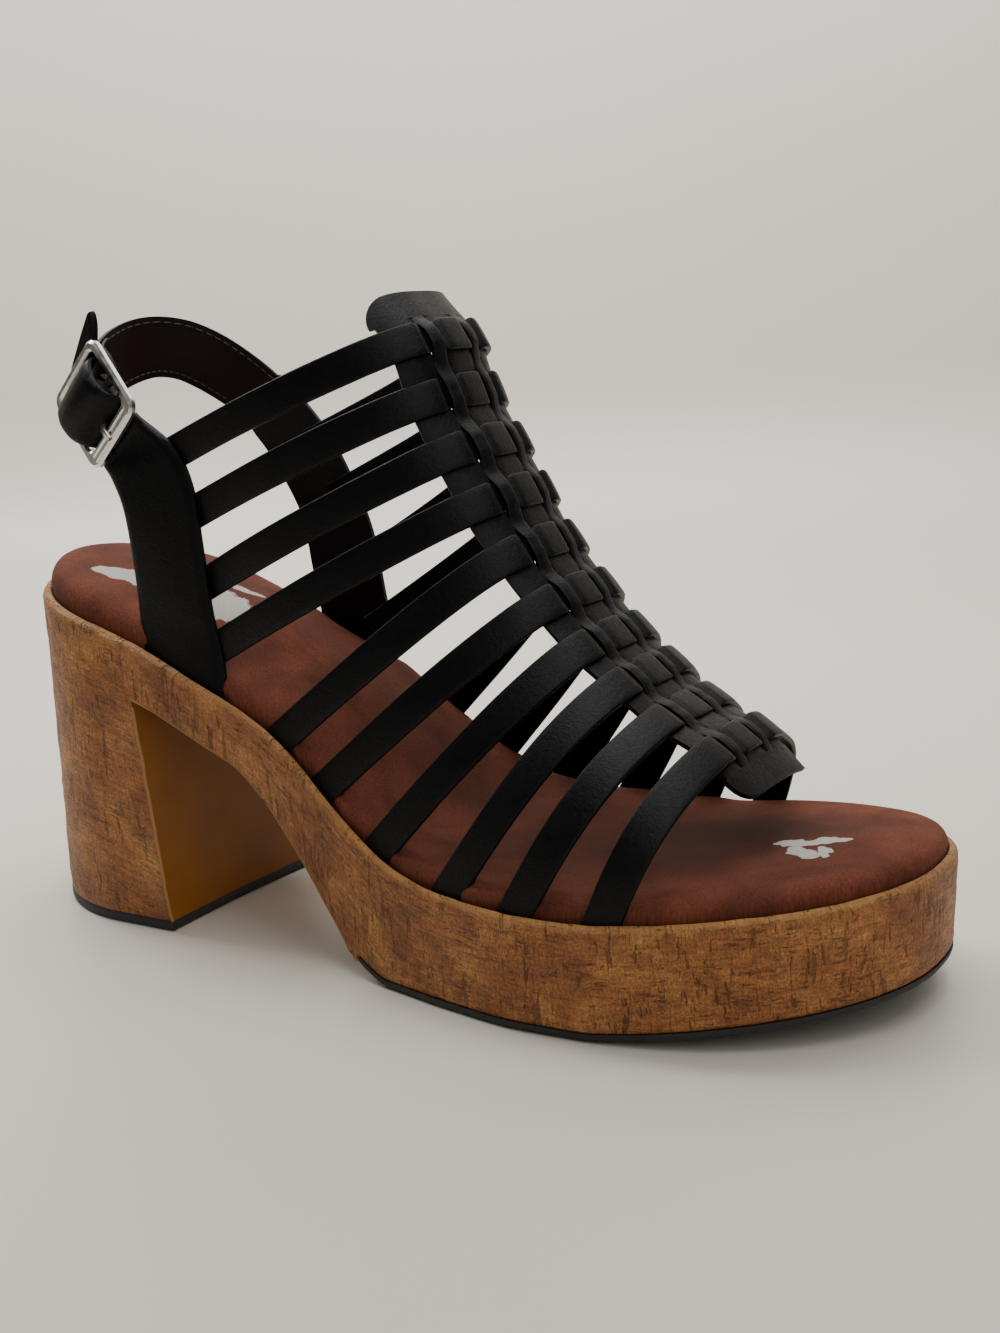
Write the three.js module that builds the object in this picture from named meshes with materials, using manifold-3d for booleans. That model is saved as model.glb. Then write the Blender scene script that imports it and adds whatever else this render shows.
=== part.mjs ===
// Platform sandal, right shoe: moulded platform sole with a block heel, padded footbed, woven strap upper
// and a buckled back strap. Millimetres, +X to the toe, +Y to the inner side of the foot, +Z up.
import * as THREE from 'three';
import Module from 'manifold-3d';
import { mergeVertices } from 'three/addons/utils/BufferGeometryUtils.js';

const wasm = await Module();
wasm.setup();

// Driving sizes of the sole
const soleLength = 250;
const ballWidth = 96;
const heelWidth = 67;
const heelHeight = 91;
const platformHeight = 27;
const toeSpring = 8;
const shankThickness = 14;
const rimWidth = 2;
const rimBevel = 1.6;
const recessDepth = 3;
const sideTaper = 1.2;
const soleEdge = 0.4;
const outsoleEdge = 0.8;
const outsoleThickness = 2.2;
const liftThickness = 3;
const heelBaseBack = 3;
const heelBaseLength = 57.5;
const heelTopLength = 48;
const heelStep = 0.25;
const padHeight = 4.4;
const heelPadHeight = 7;
const heelCupDepth = 2.4;
const heelCupReach = 22;
const padRound = 4.5;
const padEdge = 0.5;
const clearance = 0.3;

// Driving sizes of the upper
const instepHeight = 120;
const collarHeight = 90;
const ankleWidth = 56;
const strapWidth = 8.4;
const strapThickness = 1.6;
const strapLift = 0.35;
const spineWidth = 35;
const bandWidth = 4.5;
const squareWidth = 10;
const wallThickness = 1.5;
const quarterThickness = 2.2;
const grooveDepth = 2.2;
const backStrapWidth = 16.5;
const backStrapThickness = 1.7;
const billetWidth = 17;

// Driving sizes of the buckle
const frameWidth = 25.5;
const frameLength = 24.5;
const frameBar = 2.4;
const restBarWidth = 4.4;
const frameCorner = 4;
const hingeBarDiameter = 2;
const prongWidth = 1.8;
const buckleLean = 41;
const buckleTurn = 11;

// Smooth curve without overshoot through one column of a table, as a function of its "at" column
function through(rows, column) {
  const at = rows.map((row) => row.at);
  const value = rows.map((row) => row[column]);
  const slope = at.slice(1).map((end, i) => (value[i + 1] - value[i]) / (end - at[i]));
  const tangent = at.map((_, i) => {
    if (i === 0) return slope[0];
    if (i === slope.length) return slope[i - 1];
    const product = slope[i - 1] * slope[i];
    return product <= 0 ? 0 : (2 * product) / (slope[i - 1] + slope[i]);
  });
  return (share) => {
    const clamped = Math.min(Math.max(share, at[0]), at[slope.length]);
    let i = 0;
    while (i < slope.length - 1 && clamped > at[i + 1]) i += 1;
    const span = at[i + 1] - at[i];
    const t = (clamped - at[i]) / span;
    const s = 1 - t;
    return value[i] * s * s * (1 + 2 * t) + value[i + 1] * t * t * (3 - 2 * t)
      + span * t * s * (tangent[i] * s - tangent[i + 1] * t);
  };
}

// Outline of the sole seen from above. at is a share of the length, half-width is
// byHeel x heelWidth + byBall x ballWidth, shift moves the middle to the inner side as a share of ballWidth.
const outlineRows = [
  { at: 0.00, byHeel: 0.465, byBall: 0.000, shift: 0.000 },
  { at: 0.13, byHeel: 0.500, byBall: 0.000, shift: 0.000 },
  { at: 0.30, byHeel: 0.502, byBall: 0.000, shift: -0.004 },
  { at: 0.38, byHeel: 0.470, byBall: 0.031, shift: -0.010 },
  { at: 0.45, byHeel: 0.400, byBall: 0.110, shift: -0.008 },
  { at: 0.52, byHeel: 0.270, byBall: 0.240, shift: -0.008 },
  { at: 0.60, byHeel: 0.110, byBall: 0.396, shift: -0.011 },
  { at: 0.68, byHeel: 0.000, byBall: 0.500, shift: -0.013 },
  { at: 0.74, byHeel: 0.000, byBall: 0.500, shift: -0.007 },
  { at: 0.80, byHeel: 0.000, byBall: 0.486, shift: 0.005 },
  { at: 0.86, byHeel: 0.000, byBall: 0.471, shift: 0.023 },
  { at: 0.91, byHeel: 0.000, byBall: 0.458, shift: 0.042 },
  { at: 0.95, byHeel: 0.000, byBall: 0.450, shift: 0.060 },
  { at: 1.00, byHeel: 0.000, byBall: 0.440, shift: 0.075 },
];
const heelRound = 0.125;
const toeRoundStart = 0.78;
const toePower = 2.3;
const heelShare = through(outlineRows, 'byHeel');
const ballShare = through(outlineRows, 'byBall');
const shiftShare = through(outlineRows, 'shift');

// The ends close as half an ellipse at the heel and a fuller curve at the toe
function endFactor(s) {
  if (s < heelRound) return Math.sqrt(Math.max(0, 1 - ((heelRound - s) / heelRound) ** 2));
  if (s < toeRoundStart) return 1;
  const t = Math.min(1, (s - toeRoundStart) / (1 - toeRoundStart));
  return Math.max(0, 1 - t ** toePower) ** (1 / toePower);
}

// Point of the outline at share s; side is -1 on the outer side of the foot and 1 on the inner side
function outline(s, side, inset) {
  const half = heelShare(s) * heelWidth + ballShare(s) * ballWidth - inset;
  return {
    x: inset + s * (soleLength - 2 * inset),
    y: shiftShare(s) * ballWidth + side * half * endFactor(s),
  };
}

// Height of the sole's top edge: drop runs from 0 on the platform to 1 at the back of the heel
const dropRows = [
  { at: 0.00, drop: 1.000 },
  { at: 0.07, drop: 0.936 },
  { at: 0.12, drop: 0.884 },
  { at: 0.20, drop: 0.784 },
  { at: 0.28, drop: 0.650 },
  { at: 0.36, drop: 0.514 },
  { at: 0.40, drop: 0.410 },
  { at: 0.44, drop: 0.282 },
  { at: 0.48, drop: 0.170 },
  { at: 0.53, drop: 0.066 },
  { at: 0.58, drop: 0.022 },
  { at: 0.64, drop: 0.006 },
  { at: 0.70, drop: 0.000 },
  { at: 1.00, drop: 0.000 },
];
// Toe spring of the bottom, and how far the underside has left the shank for the platform's bottom
const springRows = [
  { at: 0.00, spring: 0.00 },
  { at: 0.74, spring: 0.00 },
  { at: 0.78, spring: 0.10 },
  { at: 0.83, spring: 0.29 },
  { at: 0.88, spring: 0.49 },
  { at: 0.94, spring: 0.72 },
  { at: 1.00, spring: 1.00 },
];
const bottomRows = [
  { at: 0.00, bottom: 0.00 },
  { at: 0.32, bottom: 0.02 },
  { at: 0.36, bottom: 0.09 },
  { at: 0.40, bottom: 0.24 },
  { at: 0.42, bottom: 0.34 },
  { at: 0.45, bottom: 0.55 },
  { at: 0.47, bottom: 0.76 },
  { at: 0.49, bottom: 0.89 },
  { at: 0.52, bottom: 1.00 },
  { at: 1.00, bottom: 1.00 },
];
const rimSpringShare = 0.75;
const drop = through(dropRows, 'drop');
const spring = through(springRows, 'spring');
const bottom = through(bottomRows, 'bottom');

const rimHeight = (s) => platformHeight + (heelHeight - platformHeight) * drop(s)
  + rimSpringShare * toeSpring * spring(s);
const treadHeight = (s) => {
  const shank = rimHeight(s) - shankThickness;
  return shank + (toeSpring * spring(s) - shank) * bottom(s);
};

// Stations along the sole, closer together where its ends turn
const outsoleStart = 0.48;
const toeSteps = 9;
function steps(from, to, count) {
  return Array.from({ length: count }, (_, i) => from + ((to - from) * i) / count);
}
const heelStations = steps(0, Math.PI / 2, 6).map((angle) => heelRound * (1 - Math.cos(angle)));
const toeStations = steps(0, Math.PI / 2, toeSteps).map(
  (angle) => toeRoundStart + (1 - toeRoundStart) * Math.sin(angle) ** (2 / toePower),
);
const frontStations = [...steps(outsoleStart, toeRoundStart, 9), ...toeStations, 1];
const allStations = [...heelStations, ...steps(heelRound, outsoleStart, 14), ...frontStations];

// Closed loop round the outline, outer side first, with the pairs of points that face each other
function ring(stations, place) {
  const points = [];
  const pairs = stations.map(() => [0, 0]);
  stations.forEach((s, i) => {
    pairs[i][0] = points.length;
    points.push(place(s, -1));
  });
  for (let i = stations.length - 1; i >= 0; i -= 1) {
    if (endFactor(stations[i]) === 0) {
      pairs[i][1] = pairs[i][0];
    } else {
      pairs[i][1] = points.length;
      points.push(place(stations[i], 1));
    }
  }
  return { points, pairs };
}

function soleRing(stations, inset, height) {
  return ring(stations, (s, side) => {
    const { x, y } = outline(s, side, inset);
    return new THREE.Vector3(x, y, height(s));
  });
}

// Ring on the sole's side, which leans in evenly from the top edge to the floor
const sideInset = (s, height) => sideTaper * (1 - height / rimHeight(s));
function sideRing(stations, inset, height) {
  return ring(stations, (s, side) => {
    const { x, y } = outline(s, side, inset + sideInset(s, height(s)));
    return new THREE.Vector3(x, y, height(s));
  });
}

// Geometry from points and triangles, turned so that its faces point out
function closedGeometry(points, triangles) {
  const used = triangles.filter(([a, b, c]) => a !== b && b !== c && c !== a);
  let volume = 0;
  const cross = new THREE.Vector3();
  for (const [a, b, c] of used) volume += points[a].dot(cross.crossVectors(points[b], points[c]));
  const index = used.flatMap(([a, b, c]) => (volume > 0 ? [a, b, c] : [a, c, b]));
  const geometry = new THREE.BufferGeometry();
  geometry.setAttribute('position', new THREE.Float32BufferAttribute(points.flatMap((p) => p.toArray()), 3));
  geometry.setIndex(index);
  geometry.computeVertexNormals();
  return geometry;
}

// Solid through a stack of rings, closed by strips across the first and the last
function stack(rings) {
  const count = rings[0].points.length;
  const points = rings.flatMap((r) => r.points);
  const triangles = [];
  for (let level = 0; level < rings.length - 1; level += 1) {
    for (let i = 0; i < count; i += 1) {
      const a = level * count + i;
      const b = level * count + ((i + 1) % count);
      triangles.push([a, b, b + count], [a, b + count, a + count]);
    }
  }
  const top = (rings.length - 1) * count;
  const { pairs } = rings[0];
  for (let i = 0; i < pairs.length - 1; i += 1) {
    const [a, d] = pairs[i];
    const [b, c] = pairs[i + 1];
    triangles.push([top + a, top + b, top + c], [top + a, top + c, top + d], [a, c, b], [a, d, c]);
  }
  return closedGeometry(points, triangles);
}

// Wall through rows of cells; a cell holds the inner and the outer point at one place
function wall(rows) {
  const across = rows[0].length;
  const points = rows.flatMap((row) => row.flat());
  const inner = (i, j) => 2 * (i * across + j);
  const outer = (i, j) => inner(i, j) + 1;
  const triangles = [];
  const quad = (a, b, c, d) => triangles.push([a, b, c], [a, c, d]);
  for (let i = 0; i < rows.length - 1; i += 1) {
    for (let j = 0; j < across - 1; j += 1) {
      quad(inner(i, j), inner(i, j + 1), inner(i + 1, j + 1), inner(i + 1, j));
      quad(outer(i, j), outer(i + 1, j), outer(i + 1, j + 1), outer(i, j + 1));
    }
    quad(inner(i, 0), inner(i + 1, 0), outer(i + 1, 0), outer(i, 0));
    quad(inner(i, across - 1), outer(i, across - 1), outer(i + 1, across - 1), inner(i + 1, across - 1));
  }
  const last = rows.length - 1;
  for (let j = 0; j < across - 1; j += 1) {
    quad(inner(0, j), outer(0, j), outer(0, j + 1), inner(0, j + 1));
    quad(inner(last, j), inner(last, j + 1), outer(last, j + 1), outer(last, j));
  }
  return closedGeometry(points, triangles);
}

// A three.js geometry with its shared vertices merged and each of them moved by place
function placed(geometry, place) {
  geometry.deleteAttribute('normal');
  geometry.deleteAttribute('uv');
  const merged = mergeVertices(geometry, 1e-4);
  const position = merged.getAttribute('position');
  const points = Array.from(
    { length: position.count },
    (_, i) => place(new THREE.Vector3().fromBufferAttribute(position, i)),
  );
  const order = Array.from(merged.getIndex().array);
  const triangles = [];
  for (let i = 0; i < order.length; i += 3) triangles.push(order.slice(i, i + 3));
  return closedGeometry(points, triangles);
}

function toSolid(geometry) {
  return new wasm.Manifold(new wasm.Mesh({
    numProp: 3,
    vertProperties: new Float32Array(geometry.getAttribute('position').array),
    triVerts: new Uint32Array(geometry.getIndex().array),
  }));
}

function toGeometry(solid) {
  const mesh = solid.getMesh();
  const geometry = new THREE.BufferGeometry();
  geometry.setAttribute('position', new THREE.BufferAttribute(mesh.vertProperties, 3));
  geometry.setIndex(new THREE.BufferAttribute(mesh.triVerts, 1));
  geometry.computeVertexNormals();
  return geometry;
}

const joined = (geometries) => geometries.map(toSolid).reduce((all, solid) => all.add(solid));

// Sole unit: platform, shank and block heel moulded in one, with a shallow recess for the footbed
const outsoleTop = (s) => treadHeight(s) + (s >= outsoleStart ? outsoleThickness + clearance : 0);
const recessFloor = (s) => rimHeight(s) - recessDepth;

function platformGeometry(play) {
  return stack([
    sideRing(allStations, soleEdge, outsoleTop),
    sideRing(allStations, 0, (s) => outsoleTop(s) + 4 * soleEdge),
    sideRing(allStations, 0, (s) => rimHeight(s) - 2 * rimBevel),
    sideRing(allStations, 0, (s) => rimHeight(s) - rimBevel),
    soleRing(allStations, rimBevel * 0.7, rimHeight),
    soleRing(allStations, rimWidth + play, (s) => rimHeight(s) + play),
    soleRing(allStations, rimWidth + play, (s) => recessFloor(s) + play),
  ]);
}

// Block heel: round at the back, flat at the breast, a little longer at the floor than at the seat. Its side
// carries on from the platform's, only heelStep further in, so that their faces don't lie in one another.
const heelTopShare = heelTopLength / soleLength;
function heelRing(inset, height, backShift, length) {
  const stations = [...heelStations, ...steps(heelRound, heelTopShare, 3), heelTopShare];
  return ring(stations, (s, side) => new THREE.Vector3(
    inset - backShift + (s / heelTopShare) * (length - 2 * inset),
    outline(s, side, heelStep + inset + sideInset(s, height(s))).y,
    height(s),
  ));
}
const heelFloor = liftThickness + clearance;
const edgeRound = 1;
function heelGeometry() {
  return stack([
    heelRing(edgeRound * 0.6, () => heelFloor, heelBaseBack, heelBaseLength),
    heelRing(0, () => heelFloor + edgeRound, heelBaseBack, heelBaseLength),
    heelRing(0, (s) => rimHeight(s) - shankThickness, -2 * heelStep, heelTopLength),
    heelRing(edgeRound, (s) => rimHeight(s) - shankThickness / 2, -2 * heelStep, heelTopLength),
  ]);
}

const liftGeometry = () => stack([
  heelRing(edgeRound, () => 0, heelBaseBack, heelBaseLength),
  heelRing(edgeRound * 0.5, () => edgeRound, heelBaseBack, heelBaseLength),
  heelRing(edgeRound * 0.5, () => liftThickness, heelBaseBack, heelBaseLength),
]);

const outsoleGeometry = () => stack([
  sideRing(frontStations, outsoleEdge, treadHeight),
  sideRing(frontStations, 0, (s) => treadHeight(s) + 0.5 * outsoleThickness),
  sideRing(frontStations, 0, (s) => treadHeight(s) + outsoleThickness),
]);

// Footbed: padded board in the recess, with a rounded edge and a shallow cup at the heel
const cupEnd = 0.3;
const seatGap = 1.5 * clearance;
const heelward = (s) => Math.cos((Math.PI / 2) * Math.min(1, s / cupEnd)) ** 2;
function padGeometry() {
  const edge = rimWidth + clearance;
  const above = (share, dip) => (s) => rimHeight(s)
    + (padHeight + (heelPadHeight - padHeight) * heelward(s)) * share - heelCupDepth * heelward(s) * dip;
  return stack([
    soleRing(allStations, edge + padEdge, (s) => recessFloor(s) + seatGap),
    soleRing(allStations, edge, (s) => recessFloor(s) + seatGap + padEdge),
    soleRing(allStations, edge, above(0.25, 0)),
    soleRing(allStations, edge + 0.1 * padRound, above(0.65, 0)),
    soleRing(allStations, edge + 0.45 * padRound, above(0.92, 0)),
    soleRing(allStations, edge + padRound, above(1, 0.1)),
    soleRing(allStations, edge + 0.55 * heelCupReach, above(1, 0.6)),
    soleRing(allStations, edge + heelCupReach, above(1, 1)),
  ]);
}

// The ten cross straps. Row 0 is the end of the top tab and row 11 the end of the front tab.
// spineX, outerX and innerX are shares of soleLength. rise is the height of the strap's middle above the
// sole's edge as a share of instepHeight. outerRise and innerRise are shares of collarHeight, and are 0 for
// a strap whose ends go down between the footbed and the edge of the sole.
const strapRows = [
  { at: 0, spineX: 0.481, rise: 1.035, outerX: 0.244, outerRise: 0.820, innerX: 0.246, innerRise: 0.800 },
  { at: 1, spineX: 0.519, rise: 0.994, outerX: 0.262, outerRise: 0.650, innerX: 0.280, innerRise: 0.655 },
  { at: 2, spineX: 0.538, rise: 0.900, outerX: 0.278, outerRise: 0.500, innerX: 0.308, innerRise: 0.525 },
  { at: 3, spineX: 0.565, rise: 0.813, outerX: 0.286, outerRise: 0.310, innerX: 0.332, innerRise: 0.340 },
  { at: 4, spineX: 0.592, rise: 0.720, outerX: 0.292, outerRise: 0.130, innerX: 0.346, innerRise: 0.170 },
  { at: 5, spineX: 0.618, rise: 0.625, outerX: 0.376, outerRise: 0.000, innerX: 0.410, innerRise: 0.000 },
  { at: 6, spineX: 0.652, rise: 0.532, outerX: 0.432, outerRise: 0.000, innerX: 0.468, innerRise: 0.000 },
  { at: 7, spineX: 0.686, rise: 0.448, outerX: 0.504, outerRise: 0.000, innerX: 0.536, innerRise: 0.000 },
  { at: 8, spineX: 0.722, rise: 0.379, outerX: 0.594, outerRise: 0.000, innerX: 0.612, innerRise: 0.000 },
  { at: 9, spineX: 0.762, rise: 0.311, outerX: 0.672, outerRise: 0.000, innerX: 0.688, innerRise: 0.000 },
  { at: 10, spineX: 0.811, rise: 0.248, outerX: 0.756, outerRise: 0.000, innerX: 0.762, innerRise: 0.000 },
  { at: 11, spineX: 0.848, rise: 0.163, outerX: 0.830, outerRise: 0.000, innerX: 0.830, innerRise: 0.000 },
];
const strapCount = 10;
const firstGroovedStrap = 5;
const spineX = through(strapRows, 'spineX');
const spineRise = through(strapRows, 'rise');
const ends = {
  '-1': { x: through(strapRows, 'outerX'), rise: through(strapRows, 'outerRise') },
  1: { x: through(strapRows, 'innerX'), rise: through(strapRows, 'innerRise') },
};
const wallInset = rimWidth + clearance + strapThickness + strapLift;

function strapEnd(number, side) {
  const share = ends[side].x(number);
  const rise = ends[side].rise(number) * collarHeight;
  const sole = outline(share, side, wallInset).y;
  const lean = Math.min(1, rise / (0.3 * collarHeight));
  return new THREE.Vector3(
    share * soleLength,
    sole + (side * ankleWidth / 2 - sole) * lean,
    rimHeight(share) - grooveDepth + rise,
  );
}

// Surface of the last that the upper lies on: on each side of the spine a quarter of an ellipse, filled out
// so that the instep is flat across the spine. The power is 1 for a plain ellipse.
const archRows = [
  { at: 0, outer: 0.72, inner: 0.58 },
  { at: 5, outer: 0.72, inner: 0.58 },
  { at: 11, outer: 0.72, inner: 0.86 },
];
const archPower = { '-1': through(archRows, 'outer'), 1: through(archRows, 'inner') };
function lastPoint(number, side, angle) {
  const end = strapEnd(number, side);
  const share = spineX(number);
  const top = new THREE.Vector3(share * soleLength, 0, rimHeight(share) + spineRise(number) * instepHeight);
  const up = Math.sin(angle);
  const power = archPower[side](number);
  return new THREE.Vector3(
    end.x + (top.x - end.x) * up,
    end.y * Math.max(0, 1 - up ** (2 / power)) ** (power / 2),
    end.z + (top.z - end.z) * up,
  );
}

// The same place with its directions: along the strap, across it and out of the foot
function lastFrame(number, side, angle) {
  const step = 0.02;
  const at = lastPoint(number, side, angle);
  const low = lastPoint(number, side, Math.max(angle - step, 0));
  const high = lastPoint(number, side, Math.min(angle + step, Math.PI / 2));
  const along = high.sub(low).multiplyScalar(-side).normalize();
  const across = lastPoint(Math.min(number + 0.4, strapCount + 1), side, angle)
    .sub(lastPoint(Math.max(number - 0.4, 0), side, angle));
  across.addScaledVector(along, -across.dot(along)).normalize();
  return { at, along, across, out: new THREE.Vector3().crossVectors(across, along) };
}

const angleAt = (number, side, y) => {
  const ratio = Math.min(1, Math.abs(y / strapEnd(number, side).y));
  const power = archPower[side](number);
  return Math.asin((1 - ratio ** (2 / power)) ** (power / 2));
};

function cell(frame, sideways, from, to) {
  const base = frame.at.clone().addScaledVector(frame.across, sideways);
  return [base.clone().addScaledVector(frame.out, from), base.addScaledVector(frame.out, to)];
}

// A strap passes over the outer band, under the narrow band and over the middle band of the spine
const weaveHeight = 1.35;
const sunk = 0.4;
const bandInner = squareWidth / 2;
const bandOuter = bandInner + bandWidth;
const spineHalf = spineWidth / 2;
const weaveSlope = 0.6;
const weaveRows = [
  { y: 0, raised: 1 },
  { y: bandInner - weaveSlope, raised: 1 },
  { y: bandInner + weaveSlope, raised: 0 },
  { y: bandOuter - weaveSlope, raised: 0 },
  { y: bandOuter + weaveSlope, raised: 1 },
  { y: spineHalf - 2 * weaveSlope, raised: 1 },
];
const strapSteps = 8;

function strapRow(number, side, angle, from, to) {
  const frame = lastFrame(number, side, angle);
  return [cell(frame, -strapWidth / 2, from, to), cell(frame, strapWidth / 2, from, to)];
}

function strapGeometry(number) {
  const rows = [];
  for (const side of [-1, 1]) {
    const half = weaveRows.map(({ y, raised }) => {
      const angle = angleAt(number, side, y);
      if (!raised) return strapRow(number, side, angle, sunk, wallThickness - sunk);
      return strapRow(number, side, angle, strapLift + weaveHeight / 2, strapThickness + weaveHeight);
    });
    const edge = angleAt(number, side, spineHalf + 2 * weaveSlope);
    for (let i = 0; i <= strapSteps; i += 1) {
      const angle = edge * (1 - i / strapSteps);
      half.push(strapRow(number, side, angle, strapLift, strapLift + strapThickness));
    }
    if (side < 0) rows.push(...half.reverse());
    else rows.push(...half.slice(1));
  }
  return wall(rows);
}

// Slot that a strap's end leaves in the edge of the footbed
const notchReach = 3;
function strapNotch(number, side) {
  const grown = strapWidth / 2 + clearance;
  const share = spineX(number);
  const rise = rimHeight(share) + spineRise(number) * instepHeight - strapEnd(number, side).z;
  const rows = [0, 0.5, 1].map((part) => {
    const angle = Math.asin(part * (grooveDepth + 2 * padHeight) / rise);
    const frame = lastFrame(number, side, angle);
    return [-grown, grown].map((sideways) => cell(frame, sideways, strapLift - clearance, wallInset));
  });
  const foot = lastFrame(number, side, 0).along.multiplyScalar(side * notchReach);
  return wall([rows[0].map((pair) => pair.map((p) => p.clone().add(foot))), ...rows]);
}

// The spine: one wall from tab to tab, narrower at its rounded ends
const tabRound = 7;
const ridge = (number) => lastPoint(number, 1, Math.PI / 2);
const spinePitch = ridge(strapCount).distanceTo(ridge(1)) / (strapCount - 1);
const tabSteps = [0, 0.08, 0.25];
const spineRowsAt = [
  ...tabSteps,
  ...Array.from({ length: 2 * strapCount + 1 }, (_, i) => (i + 1) / 2),
  ...tabSteps.map((at) => strapCount + 1 - at).reverse(),
];
const spinePlaces = [-1, -0.72, -0.4, 0, 0.4, 0.72, 1];
function spineGeometry() {
  return wall(spineRowsAt.map((number) => {
    const toEnd = Math.min(number, strapCount + 1 - number) * spinePitch;
    const cut = toEnd < tabRound ? tabRound - Math.sqrt(tabRound ** 2 - (tabRound - toEnd) ** 2) : 0;
    return spinePlaces.map((place) => {
      const y = place * (spineHalf - cut);
      const side = place < 0 ? -1 : 1;
      return cell(lastFrame(number, side, angleAt(number, side, y)), 0, 0, wallThickness);
    });
  }));
}

// A narrow band runs down each side of the middle band, over every strap and down again between them
const bandShare = (0.5 * strapWidth) / spinePitch;
const bandSlopeShare = 0.09;
const bandProud = 0.5;
function bandGeometry(side) {
  const places = [{ number: 0.4, over: 0 }];
  for (let strap = 1; strap <= strapCount; strap += 1) {
    places.push(
      { number: strap - bandShare - bandSlopeShare, over: 0 },
      { number: strap - bandShare, over: 1 },
      { number: strap + bandShare, over: 1 },
      { number: strap + bandShare + bandSlopeShare, over: 0 },
    );
  }
  places.push({ number: strapCount + 0.6, over: 0 });
  return wall(places.map(({ number, over }) => {
    const narrow = over ? 0 : bandProud;
    return [bandInner + narrow, bandOuter - narrow].map((y) => cell(
      lastFrame(number, side, angleAt(number, side, y)),
      0,
      sunk,
      wallThickness + bandProud + over * weaveHeight,
    ));
  }));
}

// Place round the ankle: shares of soleLength, of half the ankleWidth and of collarHeight over the foot of
// the quarters
const quarterFootShare = 0.26;
const ankleBase = rimHeight(quarterFootShare);
const anklePoint = (x, y, z) => new THREE.Vector3(
  x * soleLength,
  (y * ankleWidth) / 2,
  ankleBase + z * collarHeight,
);

// Buckle: its middle, the way the strap runs through it, the way its bars run and the way it faces
const buckleMiddle = anklePoint(0.157, -0.965, 0.752);
const strapWay = new THREE.Vector3(
  -Math.sin(THREE.MathUtils.degToRad(buckleLean)),
  0,
  Math.cos(THREE.MathUtils.degToRad(buckleLean)),
).applyAxisAngle(new THREE.Vector3(0, 0, 1), -THREE.MathUtils.degToRad(buckleTurn));
const barWay = new THREE.Vector3(
  Math.cos(THREE.MathUtils.degToRad(buckleLean)),
  0,
  Math.sin(THREE.MathUtils.degToRad(buckleLean)),
).applyAxisAngle(new THREE.Vector3(0, 0, 1), -THREE.MathUtils.degToRad(buckleTurn));
const faceWay = new THREE.Vector3().crossVectors(barWay, strapWay);
const buckleBasis = new THREE.Matrix4().makeBasis(barWay, strapWay, faceWay).setPosition(buckleMiddle);
const inBuckle = (bar, strap, face) => new THREE.Vector3(bar, strap, face).applyMatrix4(buckleBasis);

// Quarters: a row for each height, with the back and the front edge. x is a share of soleLength, z of
// collarHeight and y of half the ankleWidth.
const outerQuarterRows = [
  { at: 0.00, backX: 0.204, backZ: 0.000, frontX: 0.312, frontZ: 0.000, y: 1.000 },
  { at: 0.30, backX: 0.202, backZ: 0.280, frontX: 0.296, frontZ: 0.170, y: 1.010 },
  { at: 0.60, backX: 0.196, backZ: 0.450, frontX: 0.290, frontZ: 0.360, y: 1.005 },
  { at: 0.85, backX: 0.181, backZ: 0.560, frontX: 0.282, frontZ: 0.525, y: 0.990 },
  { at: 1.00, backX: 0.170, backZ: 0.590, frontX: 0.262, frontZ: 0.635, y: 0.975 },
];
const innerQuarterRows = [
  { at: 0.00, backX: 0.262, backZ: 0.000, frontX: 0.352, frontZ: 0.000, y: 1.000 },
  { at: 0.25, backX: 0.250, backZ: 0.200, frontX: 0.346, frontZ: 0.130, y: 1.020 },
  { at: 0.50, backX: 0.238, backZ: 0.375, frontX: 0.332, frontZ: 0.340, y: 1.020 },
  { at: 0.75, backX: 0.207, backZ: 0.545, frontX: 0.304, frontZ: 0.540, y: 0.975 },
  { at: 0.90, backX: 0.188, backZ: 0.620, frontX: 0.272, frontZ: 0.680, y: 0.945 },
  { at: 1.00, backX: 0.176, backZ: 0.675, frontX: 0.228, frontZ: 0.800, y: 0.925 },
];
const quarterSteps = 10;

function quarterRows(table, side, top = 1, grown = 0) {
  const names = ['backX', 'backZ', 'frontX', 'frontZ', 'y'];
  const column = Object.fromEntries(names.map((name) => [name, through(table, name)]));
  const out = new THREE.Vector3(0, side, 0);
  const edge = (x, z, y) => {
    if (z > 0) return anklePoint(x, side * y, z);
    return new THREE.Vector3(x * soleLength, outline(x, side, wallInset).y, rimHeight(x) - grooveDepth);
  };
  const rows = [];
  const sides = new THREE.Vector3(grown, 0, 0);
  for (let i = 0; i <= quarterSteps; i += 1) {
    const at = (top * i) / quarterSteps;
    const y = column.y(at);
    rows.push([
      edge(column.backX(at), column.backZ(at), y).sub(sides),
      edge(column.frontX(at), column.frontZ(at), y).add(sides),
    ].map((p) => [
      p.clone().addScaledVector(out, -grown),
      p.clone().addScaledVector(out, grown ? wallInset : quarterThickness),
    ]));
  }
  return rows;
}
function quarterNotch(table, side) {
  const rows = quarterRows(table, side, 0.4, clearance);
  const foot = new THREE.Vector3(0, 0, -notchReach);
  return wall([rows[0].map((pair) => pair.map((p) => p.clone().add(foot))), ...rows]);
}

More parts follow.
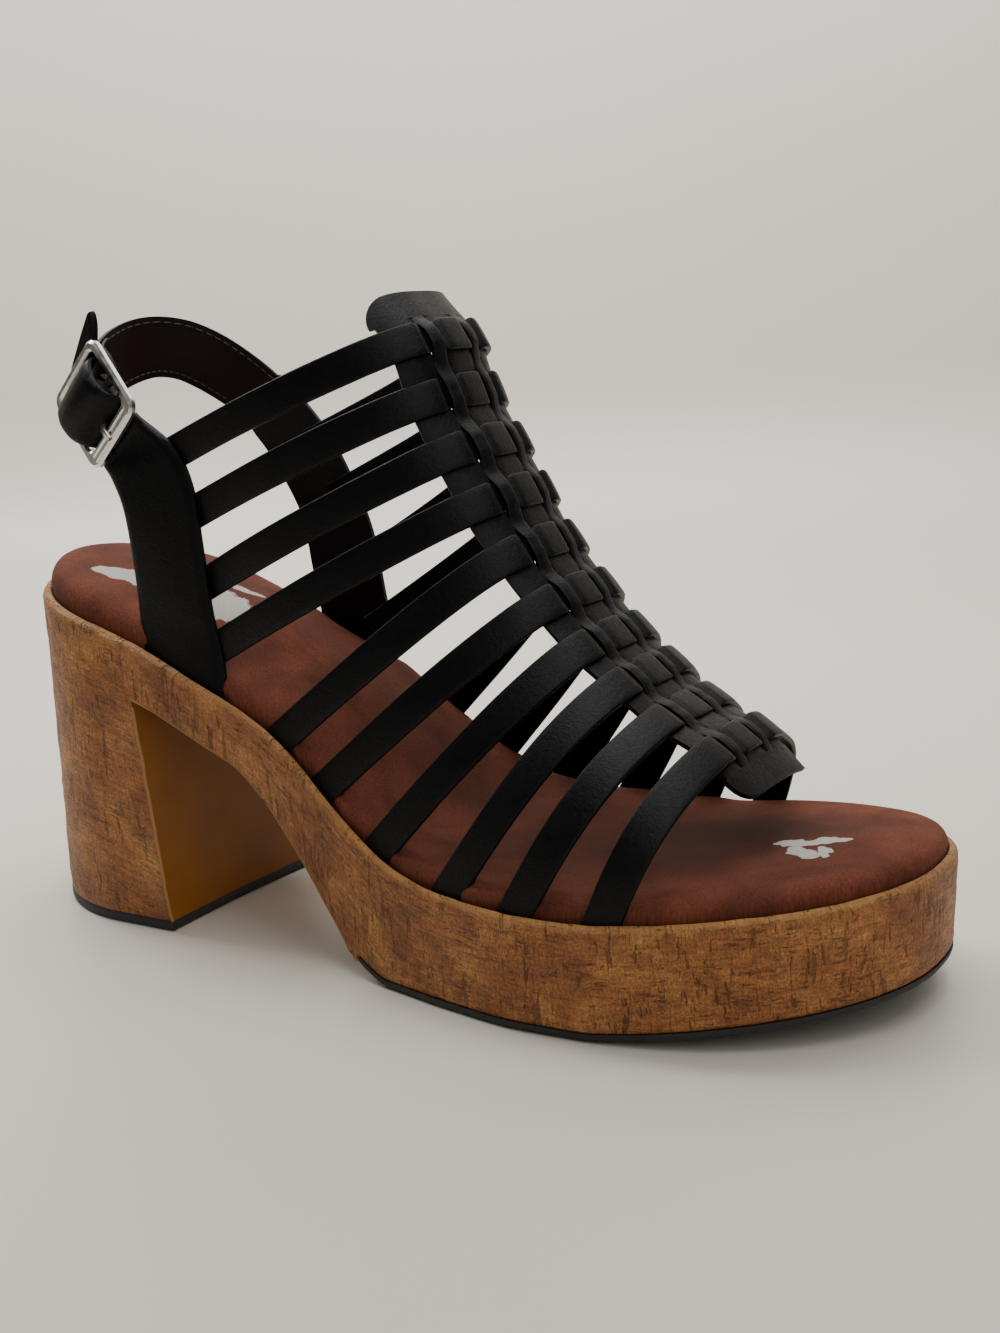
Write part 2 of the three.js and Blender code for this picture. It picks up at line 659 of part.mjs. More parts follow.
// Billet: the end of the outer quarter, threaded under the rest bar, over the hinge bar and under the far
// bar. Its places along the strap and its heights over the buckle's middle are set by the bars and the straps.
const frameHalf = frameLength / 2;
const foldRadius = hingeBarDiameter / 2 + clearance + backStrapThickness;
const underBar = -(frameBar / 2 + clearance + strapThickness);
const overFold = foldRadius + clearance;
const billetRows = [
  { strap: -frameHalf - 2.5, face: underBar, bar: 0, width: 1 },
  { strap: -frameHalf + restBarWidth, face: underBar, bar: 0, width: 1 },
  { strap: -foldRadius - 2.4, face: underBar + 0.7, bar: 0, width: 1 },
  { strap: -foldRadius - 1, face: underBar + 2.5, bar: 0, width: 1 },
  { strap: -foldRadius, face: overFold - 1.8, bar: 0, width: 1 },
  { strap: -foldRadius + 1, face: overFold - 0.4, bar: 0, width: 1 },
  { strap: 0, face: overFold + 0.4, bar: 0, width: 1 },
  { strap: foldRadius - 1, face: overFold - 0.3, bar: 0, width: 1 },
  { strap: foldRadius + 0.3, face: overFold - 2, bar: 0, width: 1 },
  { strap: foldRadius + 1.8, face: underBar + 1.8, bar: 0, width: 1 },
  { strap: frameHalf - frameBar - 1.4, face: underBar + 0.3, bar: 0, width: 1 },
  { strap: frameHalf - frameBar, face: underBar, bar: 0, width: 1 },
  { strap: frameHalf + 1, face: underBar + 0.1, bar: 0.5, width: 0.98 },
  { strap: frameHalf + 4.5, face: underBar + 0.7, bar: 2.2, width: 0.84 },
  { strap: frameHalf + 8, face: underBar + 1.2, bar: 5, width: 0.56 },
  { strap: frameHalf + 10.5, face: underBar + 1.5, bar: 7.5, width: 0.2 },
];
function billetCells({ strap, face, bar, width }) {
  return [-0.5, 0.5].map((end) => {
    const across = bar + end * width * billetWidth;
    return [inBuckle(across, strap, face), inBuckle(across, strap, face + strapThickness)];
  });
}

const outerQuarterGeometry = () => wall([
  ...quarterRows(outerQuarterRows, -1),
  ...billetRows.map(billetCells),
]);
const innerQuarterGeometry = () => wall(quarterRows(innerQuarterRows, 1));

// Upper: everything that is joined, with a hole for the prong, and its ends cut to the sole's recess
const holeWidth = prongWidth + 2 * clearance;
const holeGeometry = () => placed(
  new THREE.BoxGeometry(holeWidth, foldRadius + 1, 6 * strapThickness),
  (p) => inBuckle(p.x, p.y - foldRadius, p.z + strapThickness),
);
const upperSolid = () => joined([
  outerQuarterGeometry(),
  innerQuarterGeometry(),
  spineGeometry(),
  bandGeometry(-1),
  bandGeometry(1),
  ...Array.from({ length: strapCount }, (_, i) => strapGeometry(i + 1)),
]).subtract(toSolid(holeGeometry())).subtract(toSolid(platformGeometry(clearance)));

const footbedSolid = () => {
  const notches = [quarterNotch(outerQuarterRows, -1), quarterNotch(innerQuarterRows, 1)];
  for (let number = firstGroovedStrap; number <= strapCount; number += 1) {
    notches.push(strapNotch(number, -1), strapNotch(number, 1));
  }
  return toSolid(padGeometry()).subtract(joined(notches));
};

// Back strap: folded round the hinge bar, round behind the heel and down over the inner quarter.
// x is a share of soleLength, y of half the ankleWidth, z of collarHeight.
const backStrapRows = [
  { x: 0.122, y: -0.560, z: 0.815 },
  { x: 0.109, y: -0.290, z: 0.848 },
  { x: 0.104, y: -0.020, z: 0.877 },
  { x: 0.106, y: 0.230, z: 0.896 },
  { x: 0.114, y: 0.430, z: 0.899 },
  { x: 0.128, y: 0.620, z: 0.884 },
  { x: 0.146, y: 0.780, z: 0.848 },
  { x: 0.168, y: 0.920, z: 0.795 },
  { x: 0.194, y: 1.040, z: 0.727 },
  { x: 0.226, y: 1.090, z: 0.635 },
  { x: 0.254, y: 1.115, z: 0.535 },
];
const backStrapSteps = 30;
const heelTurnShare = 0.2;
const threadRows = [
  { strap: 0, face: -foldRadius },
  { strap: foldRadius, face: underBar - 1.3 },
  { strap: 2 * foldRadius, face: underBar - 2 * clearance - backStrapThickness },
  { strap: 3 * foldRadius, face: underBar - 3 * clearance - backStrapThickness },
];
function backStrapSolid() {
  const curve = new THREE.CatmullRomCurve3([
    ...threadRows.map(({ strap, face }) => inBuckle(0, strap, face)),
    ...backStrapRows.map(({ x, y, z }) => anklePoint(x, y, z)),
  ]);
  const rows = [];
  for (let i = 0; i <= backStrapSteps; i += 1) {
    const at = curve.getPointAt(i / backStrapSteps);
    const along = curve.getTangentAt(i / backStrapSteps);
    const behind = Math.min(0, at.x / soleLength - heelTurnShare) * soleLength;
    const round = new THREE.Vector3(behind, at.y, 0).normalize();
    const out = i < 5 ? faceWay.clone().lerp(round, i / 5).normalize() : round;
    const across = new THREE.Vector3().crossVectors(along, out).normalize();
    out.crossVectors(across, along);
    const frame = { at, across, out };
    rows.push([-0.5, 0.5].map((half) => cell(frame, half * backStrapWidth, 0, backStrapThickness)));
  }
  const fold = placed(ringGeometry(hingeBarDiameter / 2 + clearance, foldRadius, backStrapWidth), alongBar);
  const slot = placed(
    new THREE.BoxGeometry(prongWidth + 2 * clearance, 2.6 * foldRadius, 2.4 * foldRadius),
    (p) => inBuckle(p.x, p.y - 0.5 * foldRadius, p.z),
  );
  return joined([wall(rows), fold]).subtract(toSolid(slot)).subtract(toSolid(barGeometry(clearance)));
}

// Ring round the bar's axis, and the hinge bar itself
const ringSides = 14;
function ringGeometry(inner, outer, width) {
  const half = width / 2;
  const corners = [[inner, -half], [outer, -half], [outer, half], [inner, half], [inner, -half]];
  return new THREE.LatheGeometry(corners.map(([x, y]) => new THREE.Vector2(x, y)), ringSides);
}
const alongBar = (p) => inBuckle(p.y, p.x, p.z);
const barGeometry = (play) => placed(
  new THREE.CylinderGeometry(
    hingeBarDiameter / 2 + play,
    hingeBarDiameter / 2 + play,
    frameWidth - frameBar,
    ringSides,
  ),
  alongBar,
);

// Buckle frame: a rounded square with a broad rest bar, a grooved face and the hinge bar across its middle
function roundedShape(width, back, front, corner) {
  const shape = new THREE.Shape();
  const half = width / 2;
  shape.moveTo(-half + corner, back);
  shape.lineTo(half - corner, back);
  shape.absarc(half - corner, back + corner, corner, -Math.PI / 2, 0);
  shape.absarc(half - corner, front - corner, corner, 0, Math.PI / 2);
  shape.absarc(-half + corner, front - corner, corner, Math.PI / 2, Math.PI);
  shape.absarc(-half + corner, back + corner, corner, Math.PI, 1.5 * Math.PI);
  return shape;
}
function frameSolid() {
  const shape = roundedShape(frameWidth, -frameHalf, frameHalf, frameCorner);
  shape.holes.push(roundedShape(
    frameWidth - 2 * frameBar,
    -frameHalf + restBarWidth,
    frameHalf - frameBar,
    frameCorner - frameBar,
  ));
  const ring = new THREE.ExtrudeGeometry(shape, { depth: frameBar, bevelEnabled: false, curveSegments: 4 });
  const body = placed(ring, (p) => inBuckle(p.x, p.y, p.z - frameBar / 2));
  return joined([body, barGeometry(0)]);
}

// Prong: an eye round the hinge bar and a tongue that goes through the billet and lies on the rest bar
const eyeRadius = hingeBarDiameter / 2 + clearance + 1;
const prongThickness = 1.3;
const onBar = frameBar / 2 + clearance;
const tongueRows = [
  { strap: -hingeBarDiameter / 2 - clearance, face: 0.1 },
  { strap: -foldRadius, face: 0.9 },
  { strap: -foldRadius - 1.5, face: onBar },
  { strap: -frameHalf + 0.8, face: onBar },
];
function prongSolid() {
  const eye = placed(ringGeometry(hingeBarDiameter / 2 + clearance, eyeRadius, prongWidth), alongBar);
  const tongue = wall(tongueRows.map(({ strap, face }) => [-0.5, 0.5].map((half) => [
    inBuckle(half * prongWidth, strap, face),
    inBuckle(half * prongWidth, strap, face + prongThickness),
  ])));
  return joined([eye, tongue]).subtract(toSolid(barGeometry(clearance)));
}

const shoe = new THREE.Group();
function add(name, geometry, colour, roughness, metalness = 0) {
  const material = new THREE.MeshStandardMaterial({ color: colour, roughness, metalness });
  const mesh = new THREE.Mesh(geometry, material);
  mesh.name = name;
  shoe.add(mesh);
}
add('sole_unit', toGeometry(joined([platformGeometry(0), heelGeometry()])), 0x9a6a35, 0.6);
add('outsole', outsoleGeometry(), 0x151515, 0.8);
add('heel_lift', liftGeometry(), 0x151515, 0.8);
add('footbed', toGeometry(footbedSolid()), 0x6e3f2c, 0.95);
add('upper', toGeometry(upperSolid()), 0x111112, 0.45);
add('back_strap', toGeometry(backStrapSolid()), 0x111112, 0.45);
add('buckle_frame', toGeometry(frameSolid()), 0xb9b9bb, 0.25, 1);
add('buckle_prong', toGeometry(prongSolid()), 0xb9b9bb, 0.25, 1);

// The shoe stands on z = 0 with the origin under the middle of its box
const box = new THREE.Box3().setFromObject(shoe);
shoe.position.set(-(box.min.x + box.max.x) / 2, -(box.min.y + box.max.y) / 2, -box.min.z);

export default shoe;
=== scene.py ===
import math
import random

import bpy
from mathutils import Euler, Matrix, Vector, noise


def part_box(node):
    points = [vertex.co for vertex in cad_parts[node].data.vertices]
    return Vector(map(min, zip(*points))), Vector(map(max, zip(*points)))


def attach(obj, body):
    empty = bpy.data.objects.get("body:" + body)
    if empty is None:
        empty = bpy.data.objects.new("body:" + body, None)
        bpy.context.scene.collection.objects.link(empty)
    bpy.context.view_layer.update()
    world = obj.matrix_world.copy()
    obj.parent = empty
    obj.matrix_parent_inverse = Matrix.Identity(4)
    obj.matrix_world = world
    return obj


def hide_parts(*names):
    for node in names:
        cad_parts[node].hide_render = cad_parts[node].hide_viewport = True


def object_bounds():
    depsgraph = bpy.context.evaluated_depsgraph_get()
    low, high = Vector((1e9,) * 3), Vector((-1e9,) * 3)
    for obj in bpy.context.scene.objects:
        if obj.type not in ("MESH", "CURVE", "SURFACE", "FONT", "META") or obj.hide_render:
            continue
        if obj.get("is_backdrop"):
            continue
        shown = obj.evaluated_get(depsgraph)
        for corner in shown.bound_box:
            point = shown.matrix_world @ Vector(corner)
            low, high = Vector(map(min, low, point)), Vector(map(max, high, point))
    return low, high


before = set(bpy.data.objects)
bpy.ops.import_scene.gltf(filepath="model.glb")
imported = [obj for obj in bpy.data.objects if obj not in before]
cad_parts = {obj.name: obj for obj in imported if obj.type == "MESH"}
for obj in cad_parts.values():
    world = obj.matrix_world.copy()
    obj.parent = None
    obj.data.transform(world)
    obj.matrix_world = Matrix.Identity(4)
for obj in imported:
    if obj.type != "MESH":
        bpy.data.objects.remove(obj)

cad_low, cad_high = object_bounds()

# Camera
# A phone held above the table on the outer side of the shoe, in front of the heel. It looks down by about
# 13 degrees and leans a little. It is turned to the middle of the shoe, with a longer lens.
camera_place = Vector((0.2301, -0.3499, 0.1569))
camera_aim = Vector((0.0173, 0.0, 0.0717))
camera_roll = math.radians(-2.6)
sensor_side = 36
image_height = 1333
focal_pixels = 1700
camera = bpy.data.objects.new("camera", bpy.data.cameras.new("camera"))
camera.location = camera_place
look = (camera_aim - camera_place).to_track_quat("-Z", "Y")
camera.rotation_mode = "QUATERNION"
camera.rotation_quaternion = look @ Euler((0, 0, camera_roll)).to_quaternion()
camera.data.sensor_width = sensor_side
camera.data.lens = focal_pixels / image_height * sensor_side
camera.data.clip_start = 0.01
camera.data.clip_end = 20
bpy.context.scene.collection.objects.link(camera)
bpy.context.scene.camera = camera

# Table, wall and lights
# A pale lacquered table runs up into a plain pale wall. A window stands to the left, a wide ceiling light hangs
# over the table, the room gives back a weaker warm light from the right, and one more light is on the wall.


def linear(hexadecimal):
    """Linear red, green, blue and alpha of an sRGB colour such as "#8a5a32"."""
    values = [int(hexadecimal[i : i + 2], 16) / 255 for i in (1, 3, 5)]
    return [v / 12.92 if v <= 0.04045 else ((v + 0.055) / 1.055) ** 2.4 for v in values] + [1.0]


def add_node(material, kind, inputs, **settings):
    """Adds a shader node. Each input is a value, or the output socket of another node."""
    made = material.node_tree.nodes.new(kind)
    for name, value in settings.items():
        setattr(made, name, value)
    for name, value in inputs.items():
        if isinstance(value, bpy.types.NodeSocket):
            material.node_tree.links.new(value, made.inputs[name])
        else:
            made.inputs[name].default_value = value
    return made


def new_material(name):
    """A material with no nodes yet."""
    material = bpy.data.materials.new(name)
    material.use_nodes = True
    material.node_tree.nodes.clear()
    return material


def finish_material(material, shader):
    """Puts the shader on the material's surface."""
    output = add_node(material, "ShaderNodeOutputMaterial", {})
    material.node_tree.links.new(shader.outputs[0], output.inputs["Surface"])
    return material


# Lacquered board, so nearly even in colour with a soft sheen and faint clouds of 333 mm
table_cloud_size = 333
table_board = new_material("lacquered_table_board")
table_place = add_node(table_board, "ShaderNodeTexCoord", {})
table_cloud = add_node(
    table_board,
    "ShaderNodeTexNoise",
    {"Vector": table_place.outputs["Object"], "Scale": 1000 / table_cloud_size, "Detail": 4.0},
)
table_colour = add_node(
    table_board,
    "ShaderNodeMix",
    {"Factor": table_cloud.outputs["Fac"], 6: linear("#d8d3c9"), 7: linear("#d0cbc0")},
    data_type="RGBA",
)
table_shader = add_node(
    table_board, "ShaderNodeBsdfPrincipled", {"Base Color": table_colour.outputs[2], "Roughness": 0.42}
)
finish_material(table_board, table_shader)

table_front = 1.2
wall_back = 0.62
wall_curve = 0.12
wall_height = 2.2
sweep_half = 2.4
wall_turn = math.radians(26)
sweep_profile = [(-table_front, 0.0)]
for step in range(17):
    angle = math.pi / 2 * step / 16
    sweep_profile.append((wall_back - wall_curve + wall_curve * math.sin(angle), wall_curve * (1 - math.cos(angle))))
sweep_profile.append((wall_back, wall_height))
sweep_turn = Matrix.Rotation(wall_turn, 4, "Z")
sweep_points = [sweep_turn @ Vector((side, y, z)) for y, z in sweep_profile for side in (-sweep_half, sweep_half)]
sweep_faces = [(2 * i, 2 * i + 1, 2 * i + 3, 2 * i + 2) for i in range(len(sweep_profile) - 1)]
sweep_mesh = bpy.data.meshes.new("table_and_wall")
sweep_mesh.from_pydata(sweep_points, [], sweep_faces)
sweep_mesh.shade_smooth()
sweep_mesh.materials.append(table_board)
sweep = bpy.data.objects.new("table_and_wall", sweep_mesh)
bpy.context.scene.collection.objects.link(sweep)
sweep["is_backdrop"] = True

for name, place, aim, size, power, colour in [
    ("window_light", (-0.7, 0.08, 0.85), (0, 0, 0.08), 0.35, 6.0, (1.0, 0.99, 0.975)),
    ("room_light", (1.1, -1.0, 1.0), (0, 0, 0.05), 1.2, 8.0, (1.0, 0.97, 0.93)),
    ("ceiling_light", (0.4, -0.15, 1.75), (0, 0, 0.05), 1.4, 15.0, (1.0, 0.99, 0.975)),
    ("wall_light", (-0.1, 0.2, 0.8), (-0.3, 0.6, 0.5), 0.7, 8.0, (1.0, 1.0, 1.0)),
]:
    light = bpy.data.objects.new(name, bpy.data.lights.new(name, "AREA"))
    light.data.shape = "SQUARE"
    light.data.size = size
    light.data.energy = power
    light.data.color = colour
    light.location = place
    light.rotation_mode = "QUATERNION"
    light.rotation_quaternion = (Vector(aim) - Vector(place)).to_track_quat("-Z", "Y")
    bpy.context.scene.collection.objects.link(light)
world = bpy.data.worlds.new("room")
world.use_nodes = True
world.node_tree.nodes["Background"].inputs["Color"].default_value = (0.72, 0.71, 0.69, 1)
world.node_tree.nodes["Background"].inputs["Strength"].default_value = 0.1
bpy.context.scene.world = world

# Sole unit
# One light moulding: platform, shank and block heel. A thin film with a cork and wood effect is wrapped round its
# side and turned over its top edge, and the heel's front and the underside are painted mustard brown.
sole_length = 250
ball_width = 96
heel_width = 67
heel_height = 91
platform_height = 27
toe_spring = 8
shank_thickness = 14
rim_width = 2
rim_bevel = 1.6
recess_depth = 3
side_taper = 1.2
outsole_thickness = 2.2
lift_thickness = 3
heel_base_back = 3
heel_base_length = 57.5
heel_top_length = 48
clearance = 0.3


def through(rows, column):
    """Smooth curve without overshoot through one column of a table whose first column is the place."""
    at = [row[0] for row in rows]
    value = [row[column] for row in rows]
    slope = [(value[i + 1] - value[i]) / (at[i + 1] - at[i]) for i in range(len(at) - 1)]
    tangent = [slope[0]]
    for before, after in zip(slope, slope[1:]):
        tangent.append(2 * before * after / (before + after) if before * after > 0 else 0.0)
    tangent.append(slope[-1])

    def curve(place):
        place = min(max(place, at[0]), at[-1])
        i = 0
        while i < len(slope) - 1 and place > at[i + 1]:
            i += 1
        span = at[i + 1] - at[i]
        t = (place - at[i]) / span
        s = 1 - t
        return (
            value[i] * s * s * (1 + 2 * t)
            + value[i + 1] * t * t * (3 - 2 * t)
            + span * t * s * (tangent[i] * s - tangent[i + 1] * t)
        )

    return curve


# Outline from above: place as a share of the length, half-width as shares of the heel's and the ball's width,
# and how far the middle lies to the inner side as a share of the ball's width
outline_rows = [
    (0.00, 0.465, 0.000, 0.000),
    (0.13, 0.500, 0.000, 0.000),
    (0.30, 0.502, 0.000, -0.004),
    (0.38, 0.470, 0.031, -0.010),
    (0.45, 0.400, 0.110, -0.008),
    (0.52, 0.270, 0.240, -0.008),
    (0.60, 0.110, 0.396, -0.011),
    (0.68, 0.000, 0.500, -0.013),
    (0.74, 0.000, 0.500, -0.007),
    (0.80, 0.000, 0.486, 0.005),
    (0.86, 0.000, 0.471, 0.023),
    (0.91, 0.000, 0.458, 0.042),
    (0.95, 0.000, 0.450, 0.060),
    (1.00, 0.000, 0.440, 0.075),
]
# Height of the top edge above the platform's, as a share of what the heel adds
drop_rows = [
    (0.00, 1.000), (0.07, 0.936), (0.12, 0.884), (0.20, 0.784), (0.28, 0.650), (0.36, 0.514), (0.40, 0.410),
    (0.44, 0.282), (0.48, 0.170), (0.53, 0.066), (0.58, 0.022), (0.64, 0.006), (0.70, 0.000), (1.00, 0.000),
]
spring_rows = [
    (0.00, 0.00), (0.74, 0.00), (0.78, 0.10), (0.83, 0.29), (0.88, 0.49), (0.94, 0.72), (1.00, 1.00),
]
bottom_rows = [
    (0.00, 0.00), (0.32, 0.02), (0.36, 0.09), (0.40, 0.24), (0.42, 0.34), (0.45, 0.55), (0.47, 0.76),
    (0.49, 0.89), (0.52, 1.00), (1.00, 1.00),
]
heel_round = 0.125
toe_round_start = 0.78
toe_power = 2.3
rim_spring_share = 0.75
outsole_start = 0.48
heel_share = through(outline_rows, 1)
ball_share = through(outline_rows, 2)
shift_share = through(outline_rows, 3)
drop = through(drop_rows, 1)
spring = through(spring_rows, 1)
bottom = through(bottom_rows, 1)


def end_factor(s):
    """How far the width has closed at the heel's and at the toe's end."""
    if s < heel_round:
        return math.sqrt(max(0.0, 1 - ((heel_round - s) / heel_round) ** 2))
    if s < toe_round_start:
        return 1.0
    t = min(1.0, (s - toe_round_start) / (1 - toe_round_start))
    return max(0.0, 1 - t**toe_power) ** (1 / toe_power)


def outline(s, side, inset):
    """Point of the outline at share s; side is -1 on the outer and 1 on the inner side of the foot."""
    half = heel_share(s) * heel_width + ball_share(s) * ball_width - inset
    return inset + s * (sole_length - 2 * inset), shift_share(s) * ball_width + side * half * end_factor(s)


def rim_height(s):
    """Height of the sole's top edge above the floor."""
    raised = platform_height + (heel_height - platform_height) * drop(s)
    return raised + rim_spring_share * toe_spring * spring(s)


def tread_height(s):
    """Height of the underside, outsole included."""
    shank = rim_height(s) - shank_thickness
    return shank + (toe_spring * spring(s) - shank) * bottom(s)


def outsole_top(s):
    """Height at which the moulding sits on the outsole."""
    return tread_height(s) + (outsole_thickness if s >= outsole_start else 0)


def steps(start, end, count):
    """count even places from start up to, and without, end."""
    return [start + (end - start) * i / count for i in range(count)]


heel_stations = [heel_round * (1 - math.cos(a)) for a in steps(0, math.pi / 2, 22)]
toe_stations = [
    toe_round_start + (1 - toe_round_start) * math.sin(a) ** (2 / toe_power) for a in steps(0, math.pi / 2, 40)
]
heel_front_share = heel_top_length / sole_length
back_stations = heel_stations + steps(heel_round, heel_front_share, 18)
middle_stations = steps(heel_front_share, outsole_start, 70)
front_stations = steps(outsole_start, toe_round_start, 70) + toe_stations + [1.0]
all_stations = back_stations + middle_stations + front_stations


def ring_order(stations):
    """Stations and sides once round the outline, outer side first."""
    back = [(s, 1) for s in reversed(stations) if end_factor(s) > 1e-6]
    return [(s, -1) for s in stations] + back


def sole_ring(stations, inset, height):
    """Closed ring of points round the sole; inset and height are functions of the share along it."""
    points = []
    for s, side in ring_order(stations):
        x, y = outline(s, side, inset(s))
        points.append(Vector((x, y, height(s))))
    return points


# The shoe's own millimetres are turned into the frame's metres by setting the sole's box on the frame's
frame_low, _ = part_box("sole_unit")
frame_x = frame_low.x * 1000 + heel_base_back
frame_y = frame_low.y * 1000 - min(outline(s, -1, 0)[1] for s in all_stations)


def to_frame(point):
    """A point in the shoe's millimetres, from the back of the sole's top edge, as metres in the frame."""
    return Vector((point[0] + frame_x, point[1] + frame_y, point[2])) / 1000


def add_piece(name, points, faces, node, material, places=None, sharp=40, face_materials=None):
    """Mesh from points in millimetres of the shoe, that replaces a node; places are points on the material."""
    mesh = bpy.data.meshes.new(name)
    mesh.from_pydata([to_frame(p) for p in points], [], faces)
    for one in material if isinstance(material, list) else [material]:
        mesh.materials.append(one)
    if face_materials:
        mesh.polygons.foreach_set("material_index", face_materials)
    if places:
        layer = mesh.uv_layers.new(name="millimetres")
        for polygon, corners in zip(mesh.polygons, places):
            for loop, place in zip(polygon.loop_indices, corners):
                layer.data[loop].uv = place
    mesh.validate()
    mesh.shade_smooth()
    mesh.set_sharp_from_angle(angle=math.radians(sharp))
    piece = bpy.data.objects.new(name, mesh)
    bpy.context.scene.collection.objects.link(piece)
    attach(piece, "root")
    if node:
        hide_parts(node)
    return piece


class Skin:
    """Points and faces of a piece as it is built, with each face corner's place on the material."""

    def __init__(self):
        self.points = []
        self.faces = []
        self.places = []
        self.finishes = []

    def add_points(self, points):
        first = len(self.points)
        self.points.extend(points)
        return [first + i for i in range(len(points))]

    def add_face(self, corners, places, finish=0):
        kept = [(c, p) for i, (c, p) in enumerate(zip(corners, places)) if c != corners[i - 1]]
        if len({c for c, _ in kept}) >= 3:
            self.faces.append([c for c, _ in kept])
            self.places.append([p for _, p in kept])
            self.finishes.append(finish)

    def strip(self, low, high, low_places, high_places, closed=True, finish=0):
        """Faces between two rows of points."""
        count = len(low)
        for i in range(count if closed else count - 1):
            j = (i + 1) % count
            self.add_face(
                [low[i], low[j], high[j], high[i]],
                [low_places[i], low_places[i + 1], high_places[i + 1], high_places[i]],
                finish,
            )

    def piece(self, name, node, material, sharp=40):
        return add_piece(name, self.points, self.faces, node, material, self.places, sharp, self.finishes)


def lid(skin, ring, stations, turned, finish=0):
    """Closes a ring round the outline with faces across it, from the outer to the inner side."""
    count = len(stations)
    inner = {}
    index = count
    for s in reversed(stations):
        if end_factor(s) > 1e-6:
            inner[s] = index
            index += 1
    pairs = [(i, inner.get(s, i)) for i, s in enumerate(stations)]
    for (a, d), (b, c) in zip(pairs, pairs[1:]):
        corners = [ring[a], ring[b], ring[c], ring[d]]
        places = [(skin.points[corner].x, skin.points[corner].y) for corner in corners]
        if turned:
            corners.reverse()
            places.reverse()
        skin.add_face(corners, places, finish)


def side_inset(s):
    """How far the side leans in from the top edge down to the moulding's underside."""
    return side_taper * (rim_height(s) - outsole_top(s)) / rim_height(s)


def side_level(share):
    """Inset and height of the side at a share of the way from the underside up to the bevel."""

    def inset(s):
        before_heel = min(1.0, max(0.0, (s - heel_top_length / sole_length) / 0.03))
        edge = 0.5 * before_heel * max(0.0, 1 - share / 0.05) ** 2
        return side_inset(s) * (1 - share) + edge

    def height(s):
        low = outsole_top(s)
        return low + (rim_height(s) - rim_bevel - low) * share

    return inset, height


def rim_ripple(s):
    """Ripple of the film's turned top edge, which was cut and pulled over by hand."""
    return 0.08 * math.sin(41 * s) * math.sin(97 * s + 1.3) + 0.04 * math.sin(230 * s)


side_shares = [0, 0.012, 0.03, 0.06] + [0.06 + 0.94 * (i + 1) / 22 for i in range(22)]
levels = [side_level(share) for share in side_shares]
for turn in (0.25, 0.5, 0.75, 1.0):
    angle = turn * math.pi / 2
    levels.append((
        lambda s, a=angle: rim_bevel * (1 - math.cos(a)),
        lambda s, a=angle: rim_height(s) - rim_bevel * (1 - math.sin(a)) + rim_ripple(s) * math.sin(a),
    ))
levels.append((lambda s: rim_width - 0.3, lambda s: rim_height(s) + rim_ripple(s)))
levels.append((lambda s: rim_width, lambda s: rim_height(s) - 0.3))
levels.append((lambda s: rim_width, lambda s: rim_height(s) - recess_depth))


tall_relief = 0.34
fine_relief = 0.2


def film_relief(point):
    """How far the embossed film stands out at a point, in millimetres."""
    tall = noise.noise(Vector((point.x * 0.75, point.y * 0.75, point.z * 0.2)))
    fine = noise.noise(Vector((point.x * 0.5, point.y * 0.5, point.z * 0.6)) + Vector((40, 0, 0)))
    return tall_relief * max(-0.6, min(0.35, tall)) + fine_relief * fine


def emboss(row, closed):
    """Moves a row of points on the sole's side in or out by the film's relief."""
    moved = []
    for i, point in enumerate(row):
        before = row[i - 1] if i or closed else point
        after = row[(i + 1) % len(row)] if i + 1 < len(row) or closed else point
        out = Vector((after.y - before.y, before.x - after.x, 0))
        moved.append(point + out.normalized() * film_relief(point) if out.length > 1e-6 else point.copy())
    return moved


sole = Skin()
order = ring_order(all_stations)
along = [0.0]
for (s, side), (t, other) in zip(order, order[1:] + order[:1]):
    a = outline(s, side, 0)
    b = outline(t, other, 0)
    along.append(along[-1] + math.hypot(a[0] - b[0], a[1] - b[1]))
rings = []
for number, (inset, height) in enumerate(levels):
    points = sole_ring(all_stations, inset, height)
    if 2 < number < len(side_shares):
        points = emboss(points, True)
    drops = [rim_height(s) - p.z for (s, _), p in zip(order, points)]
    rings.append((sole.add_points(points), [(u, -d) for u, d in zip(along, drops + drops[:1])]))
for (low, low_places), (high, high_places) in zip(rings, rings[1:]):
    sole.strip(low, high, low_places, high_places)
lid(sole, rings[-1][0], all_stations, False, 1)

# Block heel: its side goes on down from the platform's, and its front leans forward to the floor
heel_floor = lift_thickness
heel_levels = [i / 26 for i in range(27)]
under_ring = rings[0][0]
under_count = len(under_ring)
front_index = len(back_stations)
heel_members = [under_count - i for i in range(front_index, 0, -1)] + list(range(0, front_index + 1))
heel_rows = []
for level in heel_levels:
    row = []
    for index in heel_members:
        s, side = order[index]
        top = sole.points[under_ring[index]]
        x = top.x + level * (s / heel_front_share * (heel_base_length - heel_top_length) - heel_base_back)
        lean = side_taper * (1 - top.z / rim_height(s) + level * top.z / rim_height(s))
        edge = 0.5 * max(0.0, (level - 0.985) / 0.015)
        y = outline(s, side, max(0.0, lean) + edge)[1]
        row.append(Vector((x, y, top.z + (heel_floor - top.z) * level)))
    heel_rows.append(emboss(row, False) if 0 < level < 0.98 else row)
heel_ids = [[under_ring[i] for i in heel_members]]
heel_places = [[
    (along[i] if i else (along[-1] if n < front_index else 0.0), -rim_height(order[i][0]) + heel_rows[0][n].z)
    for n, i in enumerate(heel_members)
]]
for row in heel_rows[1:]:
    heel_ids.append(sole.add_points(row))
    heel_places.append([
        (place[0], -rim_height(order[i][0]) + point.z)
        for place, i, point in zip(heel_places[0], heel_members, row)
    ])
